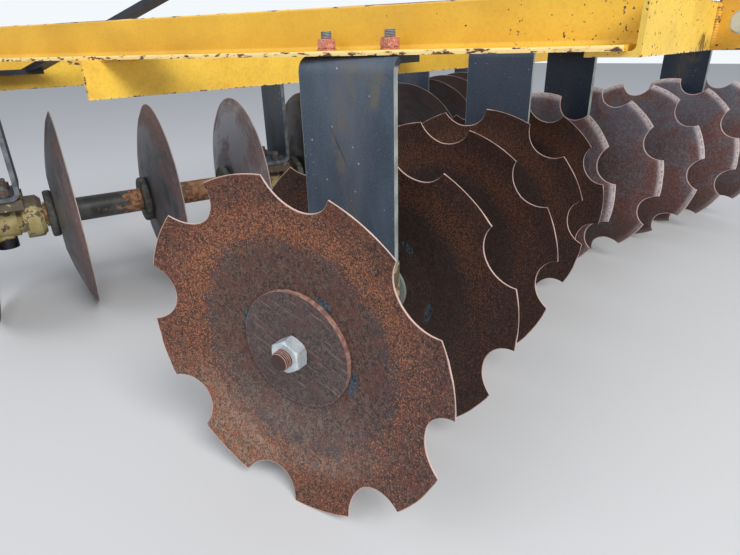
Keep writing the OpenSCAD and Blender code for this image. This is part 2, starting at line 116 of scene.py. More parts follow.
class Field:
    def __init__(self, net, socket):
        self.net = net
        self.socket = socket

    def calculate(self, operation, *values):
        return self.net.add("ShaderNodeMath", {"operation": operation}, *values)

    __add__ = of_two("ADD")
    __radd__ = of_two("ADD", swapped=True)
    __sub__ = of_two("SUBTRACT")
    __rsub__ = of_two("SUBTRACT", swapped=True)
    __mul__ = of_two("MULTIPLY")
    __rmul__ = of_two("MULTIPLY", swapped=True)
    __truediv__ = of_two("DIVIDE")
    __rtruediv__ = of_two("DIVIDE", swapped=True)
    __mod__ = of_two("FLOORED_MODULO")
    __lt__ = of_two("LESS_THAN")
    __gt__ = of_two("GREATER_THAN")
    __abs__ = of_one("ABSOLUTE")
    root = of_one("SQRT")
    floor = of_one("FLOOR")
    sine = of_one("SINE")
    cosine = of_one("COSINE")
    arc_cosine = of_one("ARCCOSINE")
    angle_over = of_two("ARCTAN2")
    least = of_two("MINIMUM")
    most = of_two("MAXIMUM")

    def __neg__(self):
        return self * -1.0

    def ramp(self, low, high):
        """0 up to low, 1 from high on, and a smooth rise between them. It falls where high is below low."""
        ends = {"From Min": min(low, high), "From Max": max(low, high)}
        rise = self.net.add("ShaderNodeMapRange", {"interpolation_type": "SMOOTHSTEP"}, self, **ends)
        return rise if high > low else 1 - rise

    def near(self, place, reach):
        """1 at a place, falling to 0 a reach away from it."""
        return abs(self - place).ramp(reach, 0.0)


print("a field has", sum(callable(part) for part in vars(Field).values()), "methods")

# %% [markdown]
# Net adds any other node from its type, its settings and the values of its sockets. A colour is written as
# the three numbers, 0 to 255, that a screen shows. Shaders work in linear light, so Net turns it into that.

# %% Nets of nodes
def linear_light(red, green, blue):
    def linear(value):
        share = value / 255
        return share / 12.92 if share <= 0.04045 else ((share + 0.055) / 1.055) ** 2.4
    return tuple(linear(value) for value in (red, green, blue))


class Net:
    def __init__(self, tree):
        self.tree = tree

    def add(self, kind, settings=None, *values, **named):
        """One node: its settings, then values by the order of the sockets, then values by their names."""
        node = self.tree.nodes.new(kind)
        settings = dict(settings or {})
        out = settings.pop("out", 0)
        for name, value in settings.items():
            setattr(node, name, value)
        for key, value in [*enumerate(values), *named.items()]:
            self.put(value, node.inputs[key])
        return Field(self, node.outputs[out])

    def put(self, value, socket):
        if isinstance(value, Field):
            self.tree.links.new(value.socket, socket)
        elif socket.type == "RGBA" and len(value) == 3:
            socket.default_value = (*linear_light(*value), 1.0)
        else:
            socket.default_value = value

    def noise(self, where, size, detail=2.0, roughness=0.5):
        """Soft noise about 0.5 whose lumps are about the given size in metres."""
        return self.add("ShaderNodeTexNoise", None, Vector=where, Scale=0.5 / size, Detail=detail,
                        Roughness=roughness)

    def seeded_noise(self, where, seed, scale, detail):
        return self.add("ShaderNodeTexNoise", {"noise_dimensions": "4D"}, Vector=where, W=seed, Scale=scale,
                        Detail=detail)

    def blend(self, share, low, high):
        """A colour that goes from low to high as share goes from 0 to 1."""
        mixed = self.add("ShaderNodeMix", {"data_type": "RGBA", "out": 2}, share)
        self.put(low, mixed.socket.node.inputs[6])
        self.put(high, mixed.socket.node.inputs[7])
        return mixed

    def layers(self, coat, *tints):
        """Lays colours over a coat one after another. Each is given as its share and its colour."""
        for share, tint in tints:
            coat = self.blend(share, coat, tint)
        return coat

    def parts(self, vector):
        node = self.tree.nodes.new("ShaderNodeSeparateXYZ")
        self.put(vector, node.inputs[0])
        return [Field(self, s) for s in node.outputs]

    def vector(self, x, y, z):
        return self.add("ShaderNodeCombineXYZ", None, x, y, z)


print("a warm yellow in linear light:", tuple(round(c, 3) for c in linear_light(240, 188, 62)))

# %% [markdown]
# Each kind of surface gets one material. A picture could be wrapped round each piece, but a pattern worked
# out from Object coordinates stays sharp close up and needs no unwrapping. A Mapping node turns those
# coordinates, so that a rail's pattern runs along the rail. From a step away rust is dark and light grains,
# with red ones in patches.

# %% Start and end a finish
class Finish(Net):
    def __init__(self, name, specular=0.5):
        self.material = bpy.data.materials.new(name)
        self.material.use_nodes = True
        super().__init__(self.material.node_tree)
        self.shader = self.tree.nodes["Principled BSDF"]
        self.shader.inputs["Specular IOR Level"].default_value = specular

    def place(self, origin=(0, 0, 0), turn=0.0):
        """Object coordinates measured from an origin, along axes turned about the upright."""
        place = self.add("ShaderNodeTexCoord", {"out": 3})
        return self.add("ShaderNodeMapping", {"vector_type": "TEXTURE"}, place, origin, (0, 0, turn))

    def stored(self, label):
        """A number that a node tree stored on each point of the piece."""
        return self.add("ShaderNodeAttribute", {"attribute_name": label, "out": 2})

    def grain(self, place, size=0.0013):
        """Two shares that rust is mixed by: of light grains among dark ones, and of red grains in patches."""
        fine = self.noise(place, size, 3.0, 0.6)
        coarse = self.noise(place, 3 * size, 3.0, 0.6)
        patches = self.noise(place, 0.011, 4.0, 0.6).ramp(0.46, 0.60)
        light = (0.6 * fine + 0.4 * coarse).ramp(0.40, 0.60)
        return light, patches * self.noise(place, size * 1.4, 2.0).ramp(0.40, 0.60)

    def rust(self, grain, dark, light, red):
        light_share, red_share = grain
        return self.blend(red_share, self.blend(light_share, dark, light), red)

    def end(self, base, roughness, height=None, bump=0.2, reach=0.001, metallic=0.0):
        """Feeds the shader and gives the material. Height drives a Bump node."""
        self.put(base, self.shader.inputs["Base Color"])
        self.put(roughness, self.shader.inputs["Roughness"])
        self.put(metallic, self.shader.inputs["Metallic"])
        if height is not None:
            normal = self.add("ShaderNodeBump", None, Strength=bump, Distance=reach, Height=height)
            self.put(normal, self.shader.inputs["Normal"])
        return self.material


def dress(names, material):
    for name in names:
        slots = frame["nodes"][name].data.materials
        slots.clear()
        slots.append(material)


print(len(frame["nodes"]), "solids wait for a finish")

# %% [markdown]
# A gang is five blades on one axle, and the harrow has four. Each could be placed by hand, but a joint of
# the construction already gives a point on the axle and the axle's direction. Along runs from the blade at
# the convex end towards the side that the blades' hollows face.

# %% Where the gangs lie
SPACING = 0.23
BLADES = 5
DISH = 0.038
BLADE_R = 0.25
BLADE_T = 0.005
WASHER_T = 0.008
WASHER_R = 0.088
GANG_L = (BLADES - 1) * SPACING


class Gang:
    def __init__(self, joint):
        self.body = joint["child"]
        self.name = self.body.removeprefix("gang_")
        self.side = 1 if self.name.endswith("right") else -1
        self.notched = self.name.startswith("front")
        outer = Vector(joint["pos_m"])
        axis = Vector(joint["axis"]).normalized()
        self.first = outer - GANG_L * axis if self.notched else outer
        self.along = axis if self.notched else -axis
        self.turn = math.atan2(self.along.y, self.along.x)
        axes = Matrix((self.along, UP.cross(self.along), UP)).transposed()
        self.matrix = Matrix.Translation(self.first) @ axes.to_4x4()


def on_gang(net, gang):
    """The place, its parts along, across and above the axle, and the distance from the axle."""
    place = net.place(gang.first, gang.turn)
    along, across, up = net.parts(place)
    return place, along, across, up, (across * across + up * up).root()


def dress_gangs(kind, finish, make_finish):
    for name, gang in gangs.items():
        dress([f"{kind}_{name}"], make_finish(f"{finish}_{name}", gang))


gangs = {gang.name: gang for gang in map(Gang, frame["joints"])}
for gang in gangs.values():
    print(gang.name, "turned", round(math.degrees(gang.turn), 1), "degrees")

# %% [markdown]
# A blade, a nut and a weld bead each follow a rule. They could be modelled point by point, but Geometry
# Nodes can bend each from a flat grid, and one tree then makes every copy with sizes of its own. Shape
# starts a tree with a named input for each size, and ends it with real meshes and a material.

# %% Start and end a shape
class Shape(Net):
    def __init__(self, name, sizes=None, part=None):
        super().__init__(bpy.data.node_groups.new(name, "GeometryNodeTree"))
        self.socket("Geometry", "Geometry")
        for label, value in (sizes or {}).items():
            self.socket(label, "Int" if isinstance(value, int) else "Float").default_value = value
        if part:
            self.socket(part, "Object")
        self.socket("Finish", "Material")
        self.socket("Geometry", "Geometry", "OUTPUT")
        entry = self.tree.nodes.new("NodeGroupInput")
        self.given = {socket.name: Field(self, socket) for socket in entry.outputs if socket.name}

    def __getitem__(self, label):
        return self.given[label]

    def socket(self, label, kind, way="INPUT"):
        return self.tree.interface.new_socket(label, in_out=way, socket_type="NodeSocket" + kind)

    def flat_grid(self, columns, rows):
        """A flat grid, with how far across it each point is and the number of its row."""
        grid = self.add("GeometryNodeMeshGrid", None, columns, rows, columns + 1, rows + 1)
        x, y, _ = self.parts(self.add("GeometryNodeInputPosition"))
        return grid, x, (y + rows / 2 + 0.5).floor()

    def pick(self, test, no, yes):
        return self.add("GeometryNodeSwitch", {"input_type": "FLOAT"}, test, no, yes)

    def note(self, geometry, label, value):
        """Stores a number on each point, for the finish to read."""
        kind = {"data_type": "FLOAT", "domain": "POINT"}
        return self.add("GeometryNodeStoreNamedAttribute", kind, geometry, Name=label, Value=value)

    def end(self, geometry):
        real = self.add("GeometryNodeRealizeInstances", None, geometry)
        painted = self.add("GeometryNodeSetMaterial", None, real, Material=self["Finish"])
        leave = self.tree.nodes.new("NodeGroupOutput")
        self.tree.links.new(painted.socket, leave.inputs[0])
        return self.tree

    def end_sheet(self, grid, place, gap, sharp):
        """Bends the grid, closes its seams and keeps edges crisp that turn by more than sharp degrees."""
        bent = self.add("GeometryNodeSetPosition", None, grid, Position=place)
        closed = self.add("GeometryNodeMergeByDistance", None, bent, Distance=gap)
        crisp = self.add("GeometryNodeInputMeshEdgeAngle") > math.radians(sharp)
        smooth = {"Shade Smooth": 1 - crisp}
        return self.end(self.add("GeometryNodeSetShadeSmooth", {"domain": "EDGE"}, closed, **smooth))


def run_tree(tree, name, start=None, **values):
    """Evaluates a tree on a mesh, or on one point, and returns a new object with the plain result."""
    maker = add_object(name + "_maker", start or one_point())
    modifier = maker.modifiers.new("make", "NODES")
    modifier.node_group = tree
    named = {item.name: item.identifier for item in tree.interface.items_tree if item.in_out == "INPUT"}
    for label, value in values.items():
        modifier[named[label.replace("_", " ")]] = value
    shown = maker.evaluated_get(bpy.context.evaluated_depsgraph_get())
    mesh = bpy.data.meshes.new_from_object(shown)
    mesh.name = name
    bpy.data.objects.remove(maker)
    return add_object(name, mesh)


def one_point():
    mesh = bpy.data.meshes.new("start")
    mesh.from_pydata([(0, 0, 0)], [], [])
    return mesh


print("a shape starts from one point and ends as a plain mesh")

# %% [markdown]
# A front blade is a steel dish with eight round notches, so that it bites into stubble. It could be cut
# with Booleans, but those leave ragged faces just where the light catches. Here the grid's columns run
# round the rim: in each notch along the notch's own circle, and between notches along the rim, which is a
# little nicked.

# %% The blade's rim
NOTCHES = 8
NOTCH_STEPS = 16
TOOTH_STEPS = 12
COLUMNS = NOTCH_STEPS + TOOTH_STEPS
NICK_SCALE = 6.0


def rim_outline(blade, column):
    """How far round the blade each column is, and how far from the axle its edge lies."""
    rim = blade["Rim radius"]
    cut = blade["Notch radius"]
    centre = rim - blade["Notch depth"] + cut
    pitch = 2 * math.pi / blade["Notches"]
    step = column % COLUMNS
    notch_end = ((centre * centre + cut * cut - rim * rim) / (2 * centre * cut)).arc_cosine()
    swing = (2 * step / NOTCH_STEPS - 1) * notch_end
    notch_x = centre - cut * swing.cosine()
    notch_y = cut * swing.sine()
    corner = (cut * notch_end.sine()).angle_over(centre - cut * notch_end.cosine())
    tooth_turn = corner + (step - NOTCH_STEPS) / TOOTH_STEPS * (pitch - 2 * corner)
    in_notch = step < NOTCH_STEPS + 0.5
    in_pitch = blade.pick(in_notch, tooth_turn, notch_y.angle_over(notch_x))
    turn = blade["Turn"] + (column / COLUMNS).floor() * pitch + in_pitch
    round_rim = blade.vector(turn.cosine(), turn.sine(), 0.0)
    nick = blade.seeded_noise(round_rim, blade["Seed"], NICK_SCALE, 3.0)
    notch_reach = (notch_x * notch_x + notch_y * notch_y).root()
    return turn, blade.pick(in_notch, rim, notch_reach) - blade["Wear"] * nick.ramp(0.45, 0.7)


print(NOTCHES, "notches,", NOTCHES * COLUMNS, "points round a blade")

# %% [markdown]
# The grid's rows run from the bolt hole out over the hollow face, round the edge and back over the bulging
# face. A lathe curve could make a round blade, but rows can follow the notches too. A sphere with a flat
# centre gives the dish, and grinding thins the rim from behind. The tree also stores how far each point is
# from the axle and from the edge, because nothing else could tell the finish.

# %% The blade's dish and its tree
DISH_ROWS = 14
ROWS = 2 * (DISH_ROWS + 2)
HOLE_R = 0.0203
NOTCH_BEVEL = 0.006
NOTCH_EDGE = 0.15
BLADE_NOTES = ("radius", "rim_gap", "back", "seed")
BLADE_SIZES = {
    "Rim radius": BLADE_R, "Plate": BLADE_T, "Dish": DISH, "Flat radius": 0.095, "Notches": NOTCHES,
    "Notch radius": 0.051, "Notch depth": 0.038, "Turn": 0.0, "Bevel": 0.013, "Edge": 0.0016, "Wear": 0.0012,
    "Seed": 0.0}


def plate_profile(blade, row, reach):
    """Each row's radius on the hollow face, its depth and spread, and whether it is on the bulging face."""
    rim, flat, dish, edge = (blade[label] for label in ("Rim radius", "Flat radius", "Dish", "Edge"))
    turned_back = row > DISH_ROWS + 1.5
    level = blade.pick(turned_back, row, 2 * DISH_ROWS + 3 - row).most(0.0)
    back = turned_back * (row < ROWS - 0.5)
    slope = flat + (level - 1) / DISH_ROWS * (reach - blade["Bevel"] - flat)
    inner = blade.pick(level < 0.5, slope, HOLE_R)
    radius = blade.pick(level > DISH_ROWS + 0.5, inner, reach)
    rise = (rim * rim - flat * flat - dish * dish) / (2 * dish)
    ball = (rise * rise + rim * rim).root()
    on_ball = rise - (ball * ball - radius * radius).root()
    hollow = blade.pick(radius < flat - 0.0001, on_ball, -dish)
    at_notch = NOTCH_EDGE + (1 - NOTCH_EDGE) * (reach - radius) / NOTCH_BEVEL
    ground = ((rim - radius) / blade["Bevel"]).least(at_notch).least(1.0)
    plate = edge + (blade["Plate"] - edge) * ground
    lean = blade.pick(radius < flat + 0.0001, radius / ball, 0.0)
    depth = hollow - back * plate * (1 - lean * lean).root()
    return radius, depth, (radius + back * plate * lean).least(rim), back


def make_blade_tree():
    blade = Shape("dished_blade", BLADE_SIZES)
    grid, x, row = blade.flat_grid(COLUMNS * NOTCHES, ROWS)
    column = (x + COLUMNS * NOTCHES / 2 + 0.5).floor()
    turn, reach = rim_outline(blade, column)
    radius, depth, spread, back = plate_profile(blade, row, reach)
    for label, value in zip(BLADE_NOTES, (radius, reach - radius, back, blade["Seed"])):
        grid = blade.note(grid, label, value)
    place = blade.vector(depth, spread * turn.sine(), spread * turn.cosine())
    return blade.end_sheet(grid, place, 0.00002, 24)


blade_tree = make_blade_tree()
print("the blade's tree has", len(blade_tree.nodes), "nodes")

# %% [markdown]
# The frame is yellow angle iron. Its paint shows the dulled coat and, where it has chipped, rust or dark
# steel.
# A thin pale line along each edge is a painted highlight. Chips could be placed one by one. Here they come
# where fine noise and the closeness of an edge add up to enough, as knocks do on a real frame.

# %% Worn yellow paint
FRAME_Z = 0.619
LEG = 0.062
# Lit and shaded copies of one yellow: the first pair has sunlight painted in, the second painted shade.
YELLOW_SUNLIT_PAINTED = ((238, 200, 84), (250, 216, 108))
YELLOW_SHADE_PAINTED = ((214, 166, 46), (232, 188, 62))
ALONG_X, ALONG_Y, ALONG_Z = range(3)


def edge_closeness(parts, edges):
    """1 on the nearest of some edges, 0 away from them. An edge is an axis, a place and a reach."""
    close = 0.0
    for axis, place, reach in edges:
        close = parts[axis].near(place, reach).most(close)
    return close


def yellow_paint(name, edges, highlight_edges, origin=(0, 0, 0), turn=0.0, chipping=0.30, soil_and_painted_light=0.25, tone=YELLOW_SHADE_PAINTED,
                 stains=(), scrapes=()):
    net = Finish(name)
    place = net.place(origin, turn)
    x, y, z = parts = net.parts(place)
    edge_highlight = edge_closeness(parts, highlight_edges)
    drawn_out = net.vector(x, y * 0.3, z)
    cloud = net.noise(place, 0.11, 4.0, 0.6)
    peel = net.noise(place, 0.0025, 2.0)
    grime = net.noise(drawn_out, 0.03, 5.0, 0.65).ramp(0.45, 0.72) * soil_and_painted_light
    coat = net.layers(
        net.blend(cloud.ramp(0.3, 0.7), *tone),
        (peel.ramp(0.4, 0.7) * 0.18, (190, 138, 40)),
        (grime, (170, 122, 56)),
        # Painted highlight: a pale cream line where light catches each edge.
        (edge_highlight * 0.75, (242, 218, 156)))
    if stains:
        runs = net.noise(net.vector(x, y, z * 0.3), 0.004, 4.0, 0.65)
        low_down = z.ramp(FRAME_Z + 0.6 * LEG, FRAME_Z)
        smear = (runs + 0.25 * edge_closeness(parts, stains) * low_down).ramp(0.68, 0.75)
        coat = net.blend(smear * 0.85, coat, (88, 58, 42))
    if scrapes:
        long_lumps = net.noise(net.vector(x, y * 0.05, z), 0.008, 3.0)
        scrape = (long_lumps + 0.28 * edge_closeness(parts, scrapes)).ramp(0.76, 0.80)
        coat = net.blend(scrape * 0.9, coat, (108, 92, 98))

    lumps = net.noise(drawn_out, 0.0040, 4.0, 0.62) + chipping * edge_closeness(parts, edges)
    dashes = (net.noise(drawn_out, 0.0028, 3.0) + 0.22 * edge_highlight).ramp(0.80, 0.84)
    crowded = net.noise(place, 0.025, 2.0) - 0.5
    specks = (net.noise(place, 0.0024, 3.0) + 0.09 * y.ramp(0.02, 0.30) + 0.22 * crowded).ramp(0.75, 0.78)
    bare = lumps.ramp(0.82, 0.86).most(specks).most(dashes)
    rust = net.blend(net.noise(place, 0.005, 3.0).ramp(0.4, 0.62), (66, 48, 52), (108, 74, 62))
    base = net.layers(coat, (lumps.ramp(0.75, 0.83) * 0.3, (196, 132, 70)), (bare, rust))
    return net.end(base, 0.38 + 0.42 * bare + 0.1 * cloud, (1 - bare) + 0.25 * peel, 0.5, 0.0005)


print("yellow from", YELLOW_SHADE_PAINTED[0], "in the shade to", YELLOW_SUNLIT_PAINTED[1], "in the sun")

# %% [markdown]
# One paint could serve the whole frame, but each piece chips along its own edges, so each gets its own,
# turned with its rail. The front cross angle faces the sun, and its light is painted in as a paler yellow;
# the rails get a darker yellow of painted shade. A dark stain lies low on the front cross beside each hitch
# plate.

# %% Paint the frame
RAIL_TURN = math.radians(18.0)
STANDARD_REACH = 0.036
FRONT_BEARING = 0.700
LOWER_BEARING = 0.0645
RAIL_TOE = FRAME_Z + LEG


def rail_corner(side, bearing):
    """Where a rail's web stands over the axle, beside the bearing that hangs from it."""
    front = gangs["front_right" if side > 0 else "front_left"]
    return front.first + front.along * (bearing + STANDARD_REACH)


def paint_rails():
    edges = [(ALONG_Z, RAIL_TOE, 0.006), (ALONG_X, 0.0, 0.003)]
    edge_highlight = [(ALONG_X, 0.0, 0.004), (ALONG_Z, RAIL_TOE, 0.002)]
    scrapes = [(ALONG_Z, RAIL_TOE, 0.004)]
    for side, word in ((1, "right"), (-1, "left")):
        for kind, bearing in (("side", FRONT_BEARING), ("inner", LOWER_BEARING)):
            name = f"{kind}_rail_{word}"
            corner = rail_corner(side, bearing)
            place = (corner.x, corner.y, 0.0)
            # The rails keep the default tone, the yellow with painted shade.
            dress([name], yellow_paint(name + "_paint", edges, edge_highlight, place, side * RAIL_TURN, chipping=0.26,
                                       scrapes=scrapes))


def paint_crosses_and_plates():
    low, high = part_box("hitch_plate_right")
    stains = [(ALONG_X, side * (high.x + 0.045), 0.050) for side in (1, -1)]
    edges = [(ALONG_Y, low.y, 0.012), (ALONG_Y, high.y, 0.01)]
    edges += [(ALONG_Z, low.z, 0.01), (ALONG_Z, high.z, 0.01)]
    dress(["hitch_plate_right", "hitch_plate_left"],
          yellow_paint("hitch_plate_paint", edges, [], soil_and_painted_light=0.35, tone=((228, 170, 54), (244, 194, 68))))
    low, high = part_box("front_cross")
    edges = [(ALONG_Z, low.z, 0.006), (ALONG_Z, high.z, 0.008)]
    edge_highlight = [(ALONG_Z, low.z, 0.003)]
    dress(["front_cross"], yellow_paint("front_cross_paint", edges, edge_highlight, tone=YELLOW_SUNLIT_PAINTED, stains=stains))
    for name in ("mid_cross", "rear_cross"):
        low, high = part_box(name)
        edges = [(ALONG_Z, low.z, 0.005), (ALONG_X, low.x, 0.004), (ALONG_X, high.x, 0.004)]
        edge_highlight = [(ALONG_Z, low.z, 0.003)]
        dress([name], yellow_paint(name + "_paint", edges, edge_highlight, tone=((244, 192, 64), (255, 210, 78))))


paint_rails()
paint_crosses_and_plates()
print("yellow paint on", sum("paint" in m.name for m in bpy.data.materials), "kinds of piece")

# %% [markdown]
# The standards are bent plates, dark blue-grey. Dust has dried down the middle of each, and sheared edges
# show pale metal. Those edges could have faces and a material of their own, but one finish can find them
# from the distance across the plate.

# %% Charcoal paint
STANDARD_HALF = 0.076
SKIN = 0.0004
CREASE_ACROSS = 0.896
CREASE_UP = 0.443
CREASE_AT = 0.210


def charcoal_paint(name, gang):
    net = Finish(name)
    place = net.place((gang.first.x, gang.first.y, 0.0), gang.turn)
    along, across, up = net.parts(place)
    forward = across * gang.side
    streaked = net.vector(along, across, up * 0.35)
    cloud = net.noise(streaked, 0.05, 5.0, 0.62)
    fine = net.noise(place, 0.0015, 2.0)
    streaks = net.noise(streaked, 0.009, 5.0, 0.7).ramp(0.44, 0.60)
    # Painted shade: the standards near the lower bearing are painted darker and bluer.
    lower_bearing_shade = along.ramp(0.45, 0.30)
    unshaded = 1 - lower_bearing_shade
    dust = across.near(0.008, 0.045) * net.noise(streaked, 0.03, 4.0).ramp(0.35, 0.7)
    patch = forward.near(0.030, 0.055) * up.near(0.580, 0.050) * unshaded
    drip = forward.near(-0.012, 0.020) * up.near(0.52, 0.11) * unshaded
    past_bend = forward * CREASE_ACROSS + up * CREASE_UP - CREASE_AT
    # Painted shade: a dark line along the plate's bend.
    bend_shade = past_bend.near(0.0, 0.0022) * up.near(0.5, 0.045) * unshaded
    rubbing = 0.11 if gang.side > 0 else 0.0
    rubbed = rubbing * forward.near(-0.062, 0.014) * up.near(0.48, 0.09) * unshaded
    marks = (net.noise(place, 0.0035, 3.0) + rubbed).ramp(0.71, 0.76)
    coat = net.layers(
        net.blend(cloud.ramp(0.3, 0.7), (50, 64, 80), (80, 93, 108)),
        (lower_bearing_shade * 0.8, (32, 47, 66)),
        # Painted shade: the left gang's standards, on the far side, are painted a dark navy.
        (0.7 if gang.side < 0 else 0.0, (24, 43, 70)),
        (dust * 0.4, (112, 98, 90)),
        (patch.ramp(0.10, 0.55) * streaks * 0.75, (97, 92, 78)),
        (drip.ramp(0.10, 0.60) * streaks * 0.6, (104, 92, 82)),
        (bend_shade * 0.8, (38, 42, 52)),
        (marks * 0.8, (188, 190, 188)),
        (fine.ramp(0.45, 0.75) * 0.25, (112, 116, 122)))

    metal = ((160, 168, 166), (132, 136, 134)) if gang.notched else ((84, 90, 98), (122, 128, 132))
    sheared = net.blend(net.noise(place, 0.012, 3.0).ramp(0.35, 0.65), *metal)
    # Painted shadow: above this height the cut edges of the top flange, under the rail, are painted near
    # black.
    sheared = net.blend(up.ramp(FRAME_Z - 0.016, FRAME_Z - 0.011), sheared, (46, 50, 54))
    base = net.blend(abs(across) > STANDARD_HALF - SKIN, coat, sheared)
    return net.end(base, 0.45 + 0.25 * fine + 0.15 * dust, fine + cloud, 0.35, 0.0004)


dress_gangs("standards", "charcoal", charcoal_paint)
print("charcoal paint on", len(gangs), "pairs of standards")

# %% [markdown]
# The bearings are castings, sprayed ochre over rust, and the paint lets go in flakes. Two mixed colours
# would look flat, so a pale rim follows each flake: the same noise, cut at two heights, gives both. Grease
# has run black below.

# %% Cast bearings
def casting_finish(name, gang):
    net = Finish(name)
    place, _, _, up, radius = on_gang(net, gang)
    bell = radius.ramp(0.0445, 0.046) * up.ramp(0.06, 0.055)
    flakes = net.noise(place, 0.018, 5.0, 0.7) - 0.10 * up.ramp(0.0, 0.04) + 0.04 * up.ramp(0.0, -0.03)
    keeps = flakes.ramp(0.48, 0.51)
    rim = flakes.ramp(0.45, 0.48) - keeps
    grease = (net.noise(place, 0.02, 3.0) * 0.02 + up).ramp(-0.030, -0.038)
    rust = net.blend(net.noise(place, 0.008, 4.0).ramp(0.35, 0.65), (82, 68, 66), (132, 106, 84))
    ochre = net.blend(net.noise(place, 0.03, 3.0).ramp(0.4, 0.6), (154, 138, 80), (188, 172, 120))
    base = net.layers(
        rust,
        (bell * 0.7, (98, 94, 80)),
        (keeps, ochre),
        (rim * 0.7, (222, 202, 140)),
        (grease, (24, 24, 28)))
    height = keeps + net.noise(place, 0.003, 3.0) * 0.5
    return net.end(base, 0.8 - 0.25 * keeps - 0.4 * grease, height, 0.6, 0.0008)


dress_gangs("bearings", "casting", casting_finish)
print("ochre and rust on", len(gangs), "pairs of bearings")

# %% [markdown]
# The braces and mast bars are black. Pins, nuts and bolts could each have a material, but they are small,
# so bare, plated and rusted steel share one finish, with fine cracks between the lumps of rust. A thread
# needs its own: its crests rub bright while dirt stays between them. Its tree stores how near a crest each
# point is.

# %% Bars, bright steel and threads
def bar_finish():
    net = Finish("black_bar")
    place = net.place()
    cloud = net.noise(place, 0.05, 4.0)
    scuffs = net.noise(place, 0.004, 4.0).ramp(0.68, 0.73)
    black = net.blend(cloud.ramp(0.4, 0.7), (28, 30, 38), (50, 54, 64))
    base = net.blend(scuffs * 0.6, black, (130, 124, 116))
    return net.end(base, 0.3 + 0.3 * cloud, cloud, 0.1, 0.0005)


def steel_finish(name, low, high, rust_share, rust_colour, metal_share=0.6, cracked=None):
    net = Finish(name)
    place = net.place()
    cloud = net.noise(place, 0.012, 4.0, 0.6)
    rust = (net.noise(place, 0.007, 4.0, 0.65) + rust_share).ramp(0.72, 0.82)
    cracks = abs(net.noise(place, 0.0022, 3.0) - 0.5).ramp(0.05, 0.015)
    base = net.layers(
        net.blend(cloud.ramp(0.35, 0.65), low, high),
        (rust, rust_colour),
        (cracks * 0.55, cracked or high))
    height = cloud + net.noise(place, 0.0015, 2.0)
    return net.end(base, 0.4 + 0.35 * rust, height, 0.25, 0.0004, metal_share * (1 - rust))


def thread_finish(name, crest, groove):
    net = Finish(name)
    place = net.place()
    ridge = net.stored("ridge")
    worn = ridge + 0.5 * (net.noise(place, 0.005, 3.0) - 0.5)
    base = net.blend(worn.ramp(0.45, 0.85), groove, crest)
    return net.end(base, 0.65 - 0.2 * ridge, net.noise(place, 0.0015, 2.0), 0.3, 0.0004)


pin_steel = steel_finish("pin_steel", (168, 166, 156), (206, 204, 192), 0.05, (150, 104, 78))
zinc = steel_finish("galvanised", (176, 188, 196), (214, 222, 226), 0.0, (132, 82, 60), 0.35)
coral = steel_finish("coral_rust", (160, 82, 66), (190, 112, 94), 0.14, (138, 62, 46), 0.1, (226, 190, 176))
old_bolt = steel_finish("old_bolt", (112, 98, 92), (150, 140, 132), 0.2, (112, 64, 46))
gang_thread = thread_finish("gang_thread", (176, 132, 122), (58, 38, 36))
bolt_thread = thread_finish("bolt_thread", (168, 172, 172), (84, 82, 82))
dress(["mast_bar_right", "mast_bar_left", "brace_right", "brace_left"], bar_finish())
dress(["hitch_pin_right", "hitch_pin_left", "top_bolt"], pin_steel)
print(len(bpy.data.materials), "materials so far")

# %% [markdown]
# Spools keep the blades apart. They are black where a brush could reach, and rust collects against their
# flanges. A mask for every spool would do that, but the place along the axle, taken modulo the spacing of
# the blades, needs only one.

# %% Spool finish
def spool_finish(name, gang):
    net = Finish(name)
    place, along, _, _, radius = on_gang(net, gang)
    spot = (along + DISH) % SPACING
    flange = radius.ramp(0.034, 0.037)
    lumps = net.noise(place, 0.012, 5.0, 0.65)
    wear = spot.ramp(0.10, 0.19) * 0.22 + along.ramp(0.40, 0.56) * 0.30
    rusty = (lumps + wear).ramp(0.60, 0.72) * (1 - flange)
    black = net.blend(net.noise(place, 0.03, 3.0).ramp(0.4, 0.6), (54, 55, 57), (88, 88, 89))
    rust = net.blend(net.noise(place, 0.006, 4.0).ramp(0.4, 0.62), (128, 90, 66), (186, 138, 100))
    dull = net.blend(lumps.ramp(0.4, 0.65), (58, 60, 58), (98, 98, 90))
    base = net.layers(
        black,
        (rusty, rust),
        (flange, dull),
        (flange * spot.ramp(0.02, 0.015) * 0.8, (138, 146, 134)))
    return net.end(base, 0.45 + 0.35 * rusty + 0.2 * flange, lumps + rusty, 0.5, 0.0008)


dress_gangs("spools", "spool", spool_finish)
print("spools dressed on", len(gangs), "gangs")

# %% [markdown]
# The big end washers are brown with long scratches, and their thickness shows as a paler line. Scratches
# could be cut into the mesh, but noise drawn out along one direction gives thousands of them for nothing.

# %% Washer finish
SCRATCH_RUN = (0.92, -0.39)


def washer_finish(name, gang):
    net = Finish(name)
    place, along, across, up, radius = on_gang(net, gang)
    ahead, above = SCRATCH_RUN
    forward = across * gang.side
    run = ahead * forward + above * up
    aside = ahead * up - above * forward
    cloud = net.noise(place, 0.02, 5.0, 0.6)
    scratches = net.noise(net.vector(run * 0.05, aside, along), 0.0009, 2.0).ramp(0.60, 0.72)
    face = net.rust(net.grain(place), (50, 41, 41), (94, 79, 76), (84, 56, 54))
    edge = net.blend(net.noise(place, 0.004, 3.0).ramp(0.4, 0.6), (134, 98, 90), (172, 132, 118))
    base = net.layers(
        face,
        (scratches * 0.45, (158, 138, 124)),
        (radius > WASHER_R - SKIN, edge))
    return net.end(base, 0.55 + 0.2 * cloud, cloud, 0.3, 0.0005)


dress_gangs("end_washers", "washer", washer_finish)
print("end washers dressed on", len(gangs), "gangs")

